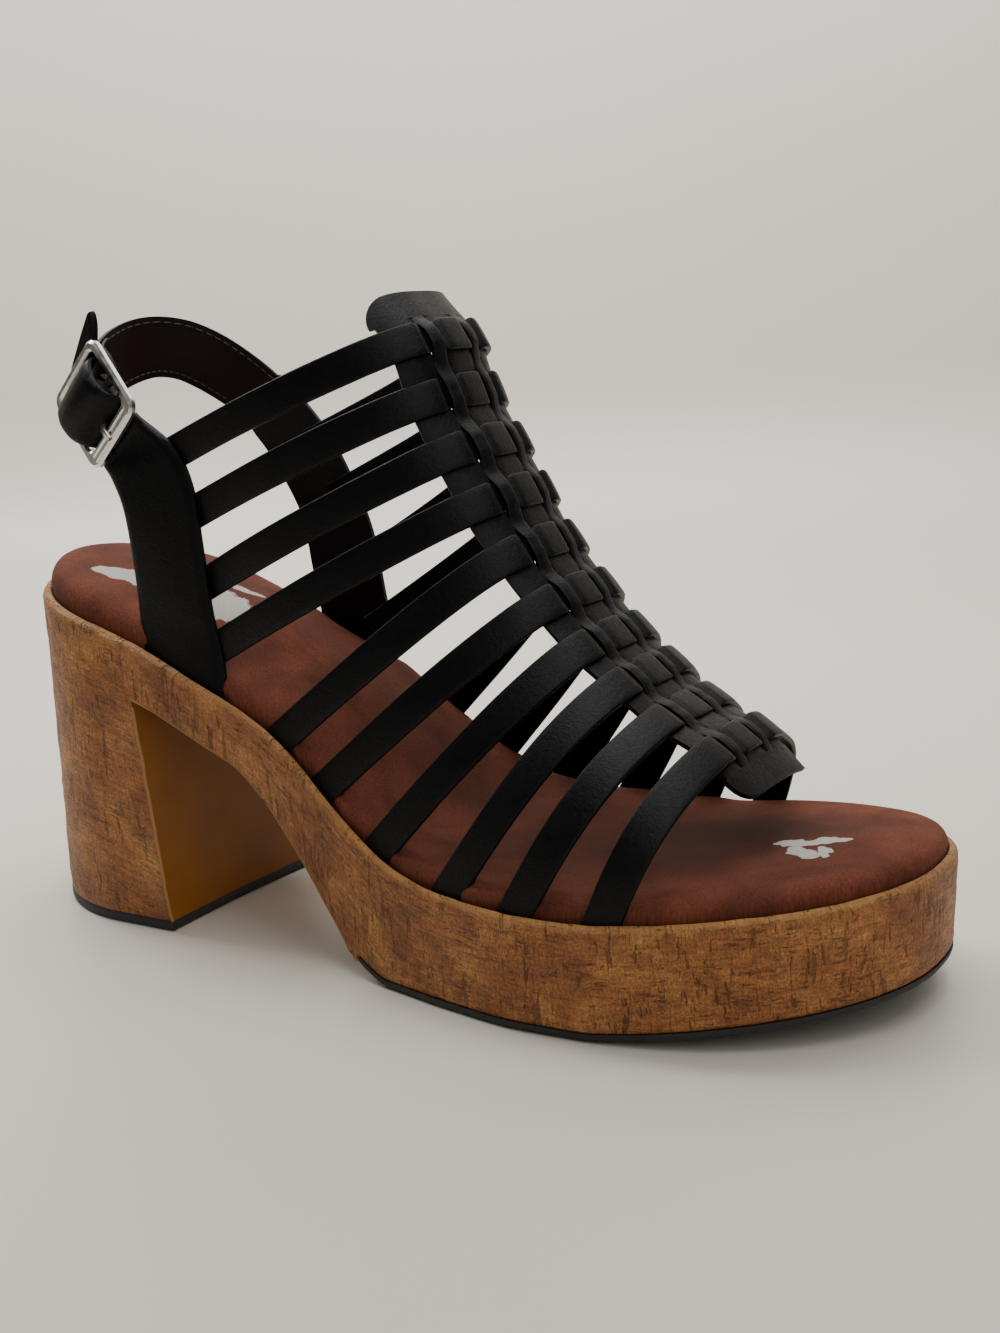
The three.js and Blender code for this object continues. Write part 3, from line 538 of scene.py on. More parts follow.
for level in range(len(heel_levels) - 1):
    high, low = heel_ids[level], heel_ids[level + 1]
    high_at, low_at = heel_places[level], heel_places[level + 1]
    for i in range(len(high) - 1):
        corners = [low[i], low[i + 1], high[i + 1], high[i]]
        places = [low_at[i], low_at[i + 1], high_at[i + 1], high_at[i]]
        shifted = [(u - along[-1] if u > along[-1] / 2 else u, v) for u, v in places]
        sole.add_face(corners, shifted, 0)


def add_bead(skin, path, radius, place):
    """Thin round bead along a row of points: the folded edge of the film beside the heel's front and the shank."""
    rings = []
    for i, point in enumerate(path):
        way = (path[min(i + 1, len(path) - 1)] - path[max(i - 1, 0)]).normalized()
        side_way = way.orthogonal().normalized()
        up_way = way.cross(side_way)
        ring = []
        for k in range(6):
            angle = math.pi * k / 3
            ring.append(point + (side_way * math.cos(angle) + up_way * math.sin(angle)) * radius)
        rings.append(skin.add_points(ring))
    for low, high in zip(rings, rings[1:]):
        skin.strip(low, high, [place] * 7, [place] * 7)
    skin.add_face(list(reversed(rings[0])), [place] * 6)
    skin.add_face(rings[-1], [place] * 6)


bead_radius = 0.4
bead_place = (0.0, 0.3)
for end in (0, -1):
    add_bead(sole, [row[end] + Vector((0.1, 0, 0)) for row in heel_rows[1:]], bead_radius, bead_place)
for side in (-1, 1):
    edge_path = [
        sole.points[under_ring[i]].copy()
        for i, (s, at_side) in enumerate(order) if at_side == side and heel_front_share <= s < outsole_start
    ]
    add_bead(sole, edge_path, bead_radius, bead_place)

# Front of the heel, a little hollow across, and the floor end under the lift
breast_columns = 14
breast_hollow = 0.8
breast_rows = []
for level, row in zip(heel_levels, heel_ids):
    left, right = sole.points[row[0]], sole.points[row[-1]]
    inner = []
    for i in range(1, breast_columns):
        t = i / breast_columns
        hollow = breast_hollow * math.sin(math.pi * t) * math.sin(math.pi / 2 * min(1, 3 * level))
        inner.append(left.lerp(right, t) - Vector((hollow, 0, 0)))
    breast_rows.append([row[0]] + sole.add_points(inner) + [row[-1]])
for high, low in zip(breast_rows, breast_rows[1:]):
    at = [[(sole.points[i].y, sole.points[i].z) for i in row] for row in (high, low)]
    sole.strip(high, low, at[0] + at[0][:1], at[1] + at[1][:1], closed=False, finish=1)
base_middle = Vector((0, 0, 0))
for index in heel_ids[-1]:
    base_middle += sole.points[index] / len(heel_ids[-1])
base_centre = sole.add_points([base_middle])[0]
base_ring = heel_ids[-1][:] + list(reversed(breast_rows[-1][1:-1]))
for a, b in zip(base_ring, base_ring[1:] + base_ring[:1]):
    corners = [base_centre, b, a]
    sole.add_face(corners, [(sole.points[c].x, sole.points[c].y) for c in corners], 1)

# Underside of shank and platform, from the heel's front to the toe
under_stations = middle_stations + front_stations
under_pairs = []
for s in under_stations:
    a = next(i for i, (t, side) in enumerate(order) if t == s and side == -1)
    inner = [i for i, (t, side) in enumerate(order) if t == s and side == 1]
    under_pairs.append((under_ring[a], under_ring[inner[0]] if inner else under_ring[a]))
top_breast = breast_rows[0]
columns = len(top_breast)
previous = list(reversed(top_breast))
for a, d in under_pairs[1:]:
    outer_point, inner_point = sole.points[a], sole.points[d]
    if a == d:
        row = [a] * columns
    else:
        between = [outer_point.lerp(inner_point, i / (columns - 1)) for i in range(1, columns - 1)]
        row = [a] + sole.add_points(between) + [d]
    at = [[(sole.points[i].x, sole.points[i].y) for i in line] for line in (previous, row)]
    sole.strip(row, previous, at[1] + at[1][:1], at[0] + at[0][:1], closed=False, finish=1)
    previous = row

# Embossed film on polyurethane: golden brown and satin, with fine grain, faint blotches and short, mostly upright
# cracks, and paler where it turns over the top edge. The grain is 0.6 mm, and a crack 0.75 by 5 mm.
grain_size = 0.6
blotch_size = 4.5
crack_width = 0.75
crack_height = 5.0
cross_width = 2.6
cross_height = 0.5
crack_patch = 14.3
cross_patch = 16.7
cloud_size = 16.7
edge_patch = 8.33
band_length = 7
band_height = 1.1
streak_width = 0.9
streak_height = 4.2
cork_film = new_material("embossed_cork_effect_film")
film_at = add_node(cork_film, "ShaderNodeUVMap", {}, uv_map="millimetres")


def cracks_in(width, height, limit, patch_size, patch_shift):
    """Share of a crack at each place; a crack is half a cell of the noise, and the cracks keep to patches."""
    scaled = add_node(
        cork_film, "ShaderNodeMapping", {"Vector": film_at.outputs[0], "Scale": (0.5 / width, 0.5 / height, 1)}
    )
    field = add_node(
        cork_film,
        "ShaderNodeTexNoise",
        {"Vector": scaled.outputs[0], "Scale": 1.0, "Detail": 2.0, "Roughness": 0.5, "Distortion": 1.2},
    )
    shifted = add_node(
        cork_film, "ShaderNodeMapping", {"Vector": film_at.outputs[0], "Location": (patch_shift, patch_shift, 0)}
    )
    patches = add_node(
        cork_film,
        "ShaderNodeTexNoise",
        {"Vector": shifted.outputs[0], "Scale": 1 / patch_size, "Detail": 2.0, "Roughness": 0.6},
    )
    least = add_node(
        cork_film,
        "ShaderNodeMapRange",
        {"Value": patches.outputs["Fac"], "From Min": 0.4, "From Max": 0.62, "To Min": limit + 0.1, "To Max": limit},
    )
    over = add_node(
        cork_film, "ShaderNodeMath", {0: field.outputs["Fac"], 1: least.outputs[0]}, operation="SUBTRACT"
    )
    return add_node(
        cork_film,
        "ShaderNodeMapRange",
        {"Value": over.outputs[0], "From Min": 0.0, "From Max": 0.05, "To Min": 0.0, "To Max": 1.0},
        interpolation_type="SMOOTHSTEP",
    )


upright_cracks = cracks_in(crack_width, crack_height, 0.57, crack_patch, 0.0)
cross_cracks = cracks_in(cross_width, cross_height, 0.585, cross_patch, 31.0)
cracks = add_node(
    cork_film, "ShaderNodeMath", {0: upright_cracks.outputs[0], 1: cross_cracks.outputs[0]}, operation="MAXIMUM"
)
grain = add_node(
    cork_film,
    "ShaderNodeTexNoise",
    {"Vector": film_at.outputs[0], "Scale": 1 / grain_size, "Detail": 3.0, "Roughness": 0.75},
)
bands_map = add_node(
    cork_film, "ShaderNodeMapping", {"Vector": film_at.outputs[0], "Scale": (1 / band_length, 1 / band_height, 1)}
)
bands = add_node(
    cork_film,
    "ShaderNodeTexNoise",
    {"Vector": bands_map.outputs[0], "Scale": 1.0, "Detail": 3.0, "Distortion": 0.5},
)
streak_map = add_node(
    cork_film, "ShaderNodeMapping", {"Vector": film_at.outputs[0], "Scale": (1 / streak_width, 1 / streak_height, 1)}
)
streaks = add_node(
    cork_film,
    "ShaderNodeTexNoise",
    {"Vector": streak_map.outputs[0], "Scale": 1.0, "Detail": 3.0, "Roughness": 0.6, "Distortion": 0.8},
)
film_cloud = add_node(
    cork_film,
    "ShaderNodeTexNoise",
    {"Vector": film_at.outputs[0], "Scale": 1 / cloud_size, "Detail": 5.0, "Roughness": 0.65},
)
film_ground = add_node(cork_film, "ShaderNodeValToRGB", {"Fac": film_cloud.outputs["Fac"]})
ramp = film_ground.color_ramp
ramp.elements[0].position = 0.34
ramp.elements[0].color = linear("#884f2b")
ramp.elements[1].position = 0.68
ramp.elements[1].color = linear("#bd8449")
middle_stop = ramp.elements.new(0.5)
middle_stop.color = linear("#a06636")
grain_tone = add_node(
    cork_film,
    "ShaderNodeMapRange",
    {"Value": grain.outputs["Fac"], "From Min": 0.32, "From Max": 0.68, "To Min": 0.55, "To Max": 1.45},
)
band_tone = add_node(
    cork_film,
    "ShaderNodeMapRange",
    {"Value": bands.outputs["Fac"], "From Min": 0.35, "From Max": 0.65, "To Min": 0.78, "To Max": 1.18},
)
streak_tone = add_node(
    cork_film,
    "ShaderNodeMapRange",
    {"Value": streaks.outputs["Fac"], "From Min": 0.38, "From Max": 0.64, "To Min": 1.12, "To Max": 0.86},
)
woven_tone = add_node(
    cork_film, "ShaderNodeMath", {0: streak_tone.outputs[0], 1: band_tone.outputs[0]}, operation="MULTIPLY"
)
tone = add_node(
    cork_film, "ShaderNodeMath", {0: grain_tone.outputs[0], 1: woven_tone.outputs[0]}, operation="MULTIPLY"
)
blotches = add_node(
    cork_film,
    "ShaderNodeTexNoise",
    {"Vector": film_at.outputs[0], "Scale": 1 / blotch_size, "Detail": 3.0, "Roughness": 0.6, "Distortion": 0.3},
)
blotch_tone = add_node(
    cork_film,
    "ShaderNodeMapRange",
    {"Value": blotches.outputs["Fac"], "From Min": 0.36, "From Max": 0.62, "To Min": 0.88, "To Max": 1.1},
)
mottled_tone = add_node(
    cork_film, "ShaderNodeMath", {0: tone.outputs[0], 1: blotch_tone.outputs[0]}, operation="MULTIPLY"
)
film_toned = add_node(
    cork_film,
    "ShaderNodeVectorMath",
    {0: film_ground.outputs["Color"], "Scale": mottled_tone.outputs[0]},
    operation="SCALE",
)
crack_share = add_node(cork_film, "ShaderNodeMath", {0: cracks.outputs[0], 1: 0.5}, operation="MULTIPLY")
film_cracked = add_node(
    cork_film,
    "ShaderNodeMix",
    {"Factor": crack_share.outputs[0], 6: film_toned.outputs[0], 7: linear("#4f2b17")},
    data_type="RGBA",
)
film_split = add_node(cork_film, "ShaderNodeSeparateXYZ", {"Vector": film_at.outputs[0]})
edge_noise = add_node(
    cork_film, "ShaderNodeTexNoise", {"Vector": film_at.outputs[0], "Scale": 1 / edge_patch, "Detail": 4.0}
)
edge_shift = add_node(
    cork_film,
    "ShaderNodeMath",
    {0: edge_noise.outputs["Fac"], 1: 2.6, 2: film_split.outputs["Y"]},
    operation="MULTIPLY_ADD",
)
edge_share = add_node(
    cork_film,
    "ShaderNodeMapRange",
    {"Value": edge_shift.outputs[0], "From Min": -0.9, "From Max": 1.3, "To Min": 0.0, "To Max": 0.75},
    interpolation_type="SMOOTHSTEP",
)
film_colour = add_node(
    cork_film,
    "ShaderNodeMix",
    {"Factor": edge_share.outputs[0], 6: film_cracked.outputs[2], 7: linear("#a0733a")},
    data_type="RGBA",
)
woven_depth = add_node(
    cork_film, "ShaderNodeMath", {0: streaks.outputs["Fac"], 1: -1.3, 2: bands.outputs["Fac"]}, operation="MULTIPLY_ADD"
)
grain_depth = add_node(
    cork_film, "ShaderNodeMath", {0: grain.outputs["Fac"], 1: 0.7, 2: woven_depth.outputs[0]}, operation="MULTIPLY_ADD"
)
film_depth = add_node(
    cork_film,
    "ShaderNodeMath",
    {0: cracks.outputs[0], 1: -2.2, 2: grain_depth.outputs[0]},
    operation="MULTIPLY_ADD",
)
film_bump = add_node(
    cork_film, "ShaderNodeBump", {"Height": film_depth.outputs[0], "Strength": 0.9, "Distance": 0.0008}
)
film_rough = add_node(
    cork_film,
    "ShaderNodeMapRange",
    {"Value": grain.outputs["Fac"], "From Min": 0.3, "From Max": 0.7, "To Min": 0.6, "To Max": 0.36},
)
film_shader = add_node(
    cork_film,
    "ShaderNodeBsdfPrincipled",
    {
        "Base Color": film_colour.outputs[2],
        "Roughness": film_rough.outputs[0],
        "Normal": film_bump.outputs[0],
        "Specular IOR Level": 0.4,
    },
)
finish_material(cork_film, film_shader)

# Painted polyurethane: mustard brown, smooth from the mould, with faint clouds of 11 mm from the brush
paint_cloud_size = 11.1
painted_foam = new_material("painted_polyurethane")
paint_at = add_node(painted_foam, "ShaderNodeTexCoord", {})
paint_cloud = add_node(
    painted_foam,
    "ShaderNodeTexNoise",
    {"Vector": paint_at.outputs["Object"], "Scale": 1000 / paint_cloud_size, "Detail": 5.0},
)
paint_colour = add_node(
    painted_foam,
    "ShaderNodeMix",
    {"Factor": paint_cloud.outputs["Fac"], 6: linear("#784508"), 7: linear("#915a10")},
    data_type="RGBA",
)
paint_bump = add_node(
    painted_foam, "ShaderNodeBump", {"Height": paint_cloud.outputs["Fac"], "Strength": 0.15, "Distance": 0.0003}
)
paint_shader = add_node(
    painted_foam,
    "ShaderNodeBsdfPrincipled",
    {
        "Base Color": paint_colour.outputs[2],
        "Roughness": 0.5,
        "Normal": paint_bump.outputs[0],
        "Specular IOR Level": 0.25,
    },
)
finish_material(painted_foam, paint_shader)

sole_piece = sole.piece("sole_moulding", "sole_unit", [cork_film, painted_foam], 42)

# Outsole and heel lift
# Black rubber, die cut and cemented under the platform and the heel. The outsole shows as a thin dark edge that
# rises at the toe. Their floor sides aren't seen in the photo, so they are plain.

# Black rubber: matt, with the mould's grain of 0.7 mm and dust in patches of 17 mm
rubber_grain_size = 0.714
dust_size = 16.7
moulded_rubber = new_material("black_rubber")
rubber_at = add_node(moulded_rubber, "ShaderNodeTexCoord", {})
rubber_grain = add_node(
    moulded_rubber,
    "ShaderNodeTexNoise",
    {"Vector": rubber_at.outputs["Object"], "Scale": 1000 / rubber_grain_size, "Detail": 3.0},
)
rubber_dust = add_node(
    moulded_rubber,
    "ShaderNodeTexNoise",
    {"Vector": rubber_at.outputs["Object"], "Scale": 1000 / dust_size, "Detail": 5.0},
)
rubber_colour = add_node(
    moulded_rubber,
    "ShaderNodeMix",
    {"Factor": rubber_dust.outputs["Fac"], 6: linear("#121213"), 7: linear("#26262a")},
    data_type="RGBA",
)
rubber_bump = add_node(
    moulded_rubber, "ShaderNodeBump", {"Height": rubber_grain.outputs["Fac"], "Strength": 0.3, "Distance": 0.0002}
)
rubber_shader = add_node(
    moulded_rubber,
    "ShaderNodeBsdfPrincipled",
    {"Base Color": rubber_colour.outputs[2], "Roughness": 0.62, "Normal": rubber_bump.outputs[0], "IOR": 1.52},
)
finish_material(moulded_rubber, rubber_shader)

outsole = Skin()
outsole_levels = [
    (1.5, 0.0), (1.0, 0.05), (0.55, 0.18), (0.15, 0.4), (-0.05, 0.65), (-0.05, 0.98),
]
outsole_rings = []
for proud, share in outsole_levels:
    ring = sole_ring(
        front_stations,
        lambda s, p=proud: side_inset(s) + p,
        lambda s, t=share: tread_height(s) + outsole_thickness * t,
    )
    outsole_rings.append(outsole.add_points(ring))
for low, high in zip(outsole_rings, outsole_rings[1:]):
    at = [(outsole.points[i].x, outsole.points[i].y) for i in low]
    outsole.strip(low, high, at + at[:1], at + at[:1])
lid(outsole, outsole_rings[-1], front_stations, False)
lid(outsole, outsole_rings[0], front_stations, True)
outsole_piece = outsole.piece("rubber_outsole", "outsole", moulded_rubber, 35)

lift = Skin()
base_points = [sole.points[i] for i in heel_ids[-1]] + [sole.points[i] for i in reversed(breast_rows[-1][1:-1])]
lift_levels = [(1.2, 0.0), (0.7, 0.06), (0.3, 0.25), (0.0, 0.7), (-0.1, 1.0), (-0.15, 2.0), (-0.15, 2.7), (0.0, 2.95)]
lift_rings = []
for inset, height in lift_levels:
    ring = []
    for point in base_points:
        out = Vector((point.x - base_middle.x, point.y - base_middle.y, 0))
        moved = point - out.normalized() * inset
        ring.append(Vector((moved.x, moved.y, height)))
    lift_rings.append(lift.add_points(ring))
for low, high in zip(lift_rings, lift_rings[1:]):
    at = [(lift.points[i].x, lift.points[i].y) for i in low]
    lift.strip(low, high, at + at[:1], at + at[:1])
for ring, height, turned in ((lift_rings[0], 0.0, True), (lift_rings[-1], 2.95, False)):
    centre = lift.add_points([Vector((base_middle.x, base_middle.y, height))])[0]
    for a, b in zip(ring, ring[1:] + ring[:1]):
        corners = [centre, b, a] if turned else [centre, a, b]
        lift.add_face(corners, [(lift.points[c].x, lift.points[c].y) for c in corners])
lift_piece = lift.piece("rubber_heel_lift", "heel_lift", moulded_rubber, 35)

# Footbed
# A foam insole on a board, covered in reddish brown microsuede, set into the sole's recess. Feet have pressed it
# and darkened it, and the label at the heel and a spot at the toe are worn to pale patches.
pad_height = 4.4
heel_pad_height = 7
heel_cup_depth = 2.4
cup_end = 0.3
wall_inset = rim_width + clearance + 1.95
instep_height = 120
collar_height = 90
ankle_width = 56
strap_width = 8.4
groove_depth = 2.2
quarter_foot_share = 0.26
quarter_feet = {-1: (0.204, 0.312), 1: (0.262, 0.352)}
edge_press = 1.5
press_reach = 7

# The ten cross straps; rows 0 and 11 are the ends of the tabs. The spine's place along the sole and its height over
# the sole's edge, then place and height of the outer end and of the inner end
strap_rows = [
    (0, 0.481, 1.035, 0.244, 0.820, 0.246, 0.800),
    (1, 0.519, 0.994, 0.262, 0.650, 0.280, 0.655),
    (2, 0.538, 0.900, 0.278, 0.500, 0.308, 0.525),
    (3, 0.565, 0.813, 0.286, 0.310, 0.332, 0.340),
    (4, 0.592, 0.720, 0.292, 0.130, 0.346, 0.170),
    (5, 0.618, 0.625, 0.376, 0.000, 0.410, 0.000),
    (6, 0.652, 0.532, 0.432, 0.000, 0.468, 0.000),
    (7, 0.686, 0.448, 0.504, 0.000, 0.536, 0.000),
    (8, 0.722, 0.379, 0.594, 0.000, 0.612, 0.000),
    (9, 0.762, 0.311, 0.672, 0.000, 0.688, 0.000),
    (10, 0.811, 0.248, 0.756, 0.000, 0.762, 0.000),
    (11, 0.848, 0.163, 0.830, 0.000, 0.830, 0.000),
]
strap_count = 10
first_grooved_strap = 5
spine_place = through(strap_rows, 1)
spine_rise = through(strap_rows, 2)
end_place = {-1: through(strap_rows, 3), 1: through(strap_rows, 5)}
end_rise = {-1: through(strap_rows, 4), 1: through(strap_rows, 6)}


def heelward(s):
    """1 at the back of the heel, 0 from the waist on."""
    return math.cos(math.pi / 2 * min(1, s / cup_end)) ** 2


def pressed(s, side):
    """How far a strap's end presses in the footbed's edge."""
    deepest = 0.0
    for number in range(first_grooved_strap, strap_count + 1):
        away = (s - end_place[side](number)) * sole_length / (0.5 * strap_width + 3.0)
        deepest = max(deepest, math.exp(-(away**2)))
    back, front = quarter_feet[side]
    from_middle = abs(s - (back + front) / 2) * sole_length
    half = (front - back) / 2 * sole_length + 1.2
    return edge_press * max(deepest, math.exp(-((from_middle / half) ** 8)))


# Hollows left by heel, ball and toes: place along and across, size along and across, depth
foot_prints = [
    (36, 0, 24, 18, 1.3),
    (176, -14, 24, 22, 0.9),
    (172, 20, 22, 18, 1.0),
    (222, 20, 11, 8, 0.8),
    (219, 4, 7, 5, 0.5),
    (214, -8, 6, 5, 0.5),
    (207, -19, 6, 5, 0.45),
    (198, -28, 6, 5, 0.4),
]


def foot_hollow(x, y):
    """How deep feet have pressed the footbed at this place."""
    return sum(d * math.exp(-(((x - px) / lx) ** 2) - ((y - py) / ly) ** 2) for px, py, lx, ly, d in foot_prints)


pad = Skin()
edge = rim_width + clearance
pad_levels = [
    (0.4, None, 0), (0.0, None, 0.5), (-0.1, 0.05, 0), (-0.15, 0.22, 0), (0.0, 0.42, 0), (0.35, 0.6, 0),
    (0.9, 0.75, 0), (1.7, 0.87, 0), (2.8, 0.95, 0.02), (4.2, 0.99, 0.08), (6.0, 1.0, 0.2), (8.0, 1.0, 0.35),
    (10.5, 1.0, 0.5), (13.0, 1.0, 0.66), (16.0, 1.0, 0.8), (19.0, 1.0, 0.92), (22.0, 1.0, 1.0), (25.0, 1.0, 1.0),
    (27.5, 1.0, 1.0),
]
pad_rings = []
for inset, share, dip in pad_levels:
    ring = []
    for s, side in ring_order(all_stations):
        press = pressed(s, side) * max(0.0, 1 - max(inset, 0) / press_reach)
        x, y = outline(s, side, edge + inset + press)
        if share is None:
            z = rim_height(s) - recess_depth + 0.1 + dip
        else:
            thick = pad_height + (heel_pad_height - pad_height) * heelward(s)
            z = rim_height(s) + thick * share - heel_cup_depth * heelward(s) * dip - foot_hollow(x, y) * share
            z -= 0.25 * press * share
        ring.append(Vector((x, y, z)))
    pad_rings.append(pad.add_points(ring))
for low, high in zip(pad_rings, pad_rings[1:]):
    at = [[(pad.points[i].x, pad.points[i].y) for i in ring] for ring in (low, high)]
    pad.strip(low, high, at[0] + at[0][:1], at[1] + at[1][:1])
lid(pad, pad_rings[-1], all_stations, False)
lid(pad, pad_rings[0], all_stations, True)

# Napped microsuede: matt reddish brown with a brushed, clouded pile and a faint sheen. The real pile is too fine
# to show, so its grain is drawn at 0.6 mm.
pile_size = 0.6
brushed_size = 20
ragged_size = 6.25
microsuede = new_material("microsuede")
suede_at = add_node(microsuede, "ShaderNodeUVMap", {}, uv_map="millimetres")
pile = add_node(
    microsuede,
    "ShaderNodeTexNoise",
    {"Vector": suede_at.outputs[0], "Scale": 1 / pile_size, "Detail": 4.0, "Roughness": 0.7},
)
brushed = add_node(
    microsuede,
    "ShaderNodeTexNoise",
    {"Vector": suede_at.outputs[0], "Scale": 1 / brushed_size, "Detail": 6.0, "Roughness": 0.6, "Distortion": 0.4},
)
suede_ground = add_node(microsuede, "ShaderNodeValToRGB", {"Fac": brushed.outputs["Fac"]})
suede_ground.color_ramp.elements[0].position = 0.33
suede_ground.color_ramp.elements[0].color = linear("#4b2416")
suede_ground.color_ramp.elements[1].position = 0.7
suede_ground.color_ramp.elements[1].color = linear("#713c28")
suede_middle = suede_ground.color_ramp.elements.new(0.5)
suede_middle.color = linear("#5e2f1f")
pile_tone = add_node(
    microsuede,
    "ShaderNodeMapRange",
    {"Value": pile.outputs["Fac"], "From Min": 0.3, "From Max": 0.7, "To Min": 0.62, "To Max": 1.4},
)
suede_toned = add_node(
    microsuede,
    "ShaderNodeVectorMath",
    {0: suede_ground.outputs["Color"], "Scale": pile_tone.outputs[0]},
    operation="SCALE",
)
warp_noise = add_node(
    microsuede,
    "ShaderNodeTexNoise",
    {"Vector": suede_at.outputs[0], "Scale": 1 / ragged_size, "Detail": 5.0, "Roughness": 0.6},
)
warp = add_node(
    microsuede,
    "ShaderNodeVectorMath",
    {0: warp_noise.outputs["Color"], 1: (0.5, 0.5, 0.5)},
    operation="SUBTRACT",
)
warped = add_node(
    microsuede,
    "ShaderNodeVectorMath",
    {0: warp.outputs[0], 1: (7, 7, 0), 2: suede_at.outputs[0]},
    operation="MULTIPLY_ADD",
)


def spot(centre, size, turn, start, end):
    """Share of a soft oval spot on the footbed; the share rises as the distance falls from start to end."""
    moved = add_node(
        microsuede,
        "ShaderNodeMapping",
        {"Vector": warped.outputs[0], "Location": (centre[0], centre[1], 0), "Rotation": (0, 0, turn),
         "Scale": (size[0], size[1], 1)},
        vector_type="TEXTURE",
    )
    flat = add_node(microsuede, "ShaderNodeVectorMath", {0: moved.outputs[0], 1: (1, 1, 0)}, operation="MULTIPLY")
    length = add_node(microsuede, "ShaderNodeVectorMath", {0: flat.outputs[0]}, operation="LENGTH")
    return add_node(
        microsuede,
        "ShaderNodeMapRange",
        {"Value": length.outputs["Value"], "From Min": start, "From Max": end, "To Min": 0.0, "To Max": 1.0},
        interpolation_type="SMOOTHSTEP",
    ).outputs[0]


worn_colour = add_node(
    microsuede,
    "ShaderNodeMix",
    {"Factor": pile.outputs["Fac"], 6: linear("#8f8a83"), 7: linear("#cbc7c1")},
    data_type="RGBA",
)
suede_colour = suede_toned.outputs[0]
for centre, size, turn, strength in [
    ((190, 0), (46, 30), 0.1, 0.65),
    ((206, 8), (20, 16), 0.2, 0.58),
    ((40, 0), (34, 18), 0.0, 0.35),
    ((120, 8), (34, 14), 0.0, 0.3),
]:
    share = spot(centre, size, turn, 1.25, 0.35)
    weaker = add_node(microsuede, "ShaderNodeMath", {0: share, 1: strength}, operation="MULTIPLY")
    dirty = add_node(
        microsuede,
        "ShaderNodeMix",
        {"Factor": weaker.outputs[0], 6: suede_colour, 7: linear("#3a221a")},
        data_type="RGBA",
    )
    suede_colour = dirty.outputs[2]
# Worn patches as ovals that overlap: four at the toe, four at the heel
for centre, size, turn in [
    ((218, -2.6), (5.2, 2.2), 0.25),
    ((224.8, 0.8), (5.6, 1.9), 0.4),
    ((221.5, -8.0), (5.2, 2.5), -0.55),
    ((226.3, -6.6), (4.4, 1.6), -1.15),
    ((30, -13), (9, 4.0), 0.15),
    ((44, -8.5), (14, 8.2), 0.1),
    ((58, -7), (9, 7.6), -0.1),
    ((53, 6), (8, 3.2), 0.5),
]:
    share = spot(centre, size, turn, 1.03, 0.95)
    worn = add_node(
        microsuede, "ShaderNodeMix", {"Factor": share, 6: suede_colour, 7: worn_colour.outputs[2]}, data_type="RGBA"
    )
    suede_colour = worn.outputs[2]
suede_bump = add_node(
    microsuede, "ShaderNodeBump", {"Height": pile.outputs["Fac"], "Strength": 0.6, "Distance": 0.0004}
)
suede_shader = add_node(
    microsuede,
    "ShaderNodeBsdfPrincipled",
    {
        "Base Color": suede_colour,
        "Roughness": 0.92,
        "Normal": suede_bump.outputs[0],
        "Sheen Weight": 0.03,
        "Sheen Roughness": 0.5,
        "Sheen Tint": linear("#c89a86"),
        "Specular IOR Level": 0.25,
    },
)
finish_material(microsuede, suede_shader)
pad_piece = pad.piece("microsuede_footbed", "footbed", microsuede, 50)

# Upper straps
# Ten straps of black coated leather, folded to 8.4 mm and 1.5 mm thick. Each crosses the foot through the slit
# panel on the instep, and ends under the quarters or is lasted into the groove beside the footbed.
strap_thickness = 1.5
strap_edge = 0.55
strap_crown = 0.14
strap_lift = 0.35
wave_height = 0.12
wave_length = 13
tuck_depth = 2.6
tuck_reach = 0.42
hidden_end = 4.0
arch_rows = [(0, 0.72, 0.58), (5, 0.72, 0.58), (11, 0.72, 0.86)]
arch_power = {-1: through(arch_rows, 1), 1: through(arch_rows, 2)}


def strap_end(number, side):
    """Where a strap's end lies, also for numbers between two straps."""
    share = end_place[side](number)
    rise = end_rise[side](number) * collar_height
    sole_y = outline(share, side, wall_inset)[1]
    lean = min(1.0, rise / (0.3 * collar_height))
    return Vector((
        share * sole_length,
        sole_y + (side * ankle_width / 2 - sole_y) * lean,
        rim_height(share) - groove_depth + rise,
    ))


def strap_top(number):
    """Where a strap crosses the ridge of the instep."""
    share = spine_place(number)
    return Vector((share * sole_length, 0, rim_height(share) + spine_rise(number) * instep_height))


def last_point(number, side, up):
    """Point of the last's surface; up is 0 at the strap's end and 1 on the ridge."""
    end = strap_end(number, side)
    top = strap_top(number)
    power = arch_power[side](number)
    return Vector((
        end.x + (top.x - end.x) * up,
        end.y * max(0.0, 1 - up ** (2 / power)) ** (power / 2),
        end.z + (top.z - end.z) * up,
    ))


def last_frame(number, side, up):
    """The same point with its directions along the strap, across it and out of the foot."""
    step = 0.012
    at = last_point(number, side, up)
    low = last_point(number, side, max(up - step, 0))
    high = last_point(number, side, min(up + step, 1)) if up < 1 - 1e-9 else None
    if high is None:
        along = Vector((0, 1, 0))
    else:
        along = (high - low).normalized() * -side
    across = last_point(min(number + 0.4, strap_count + 1), side, up)
    across -= last_point(max(number - 0.4, 0), side, up)
    across -= along * across.dot(along)
    across.normalize()
    return at, along, across, across.cross(along)


def up_at(number, side, y):
    """How far up the arch the surface is y millimetres from the ridge."""
    ratio = min(1.0, abs(y / strap_end(number, side).y))
    power = arch_power[side](number)
    return (1 - ratio ** (2 / power)) ** (power / 2)


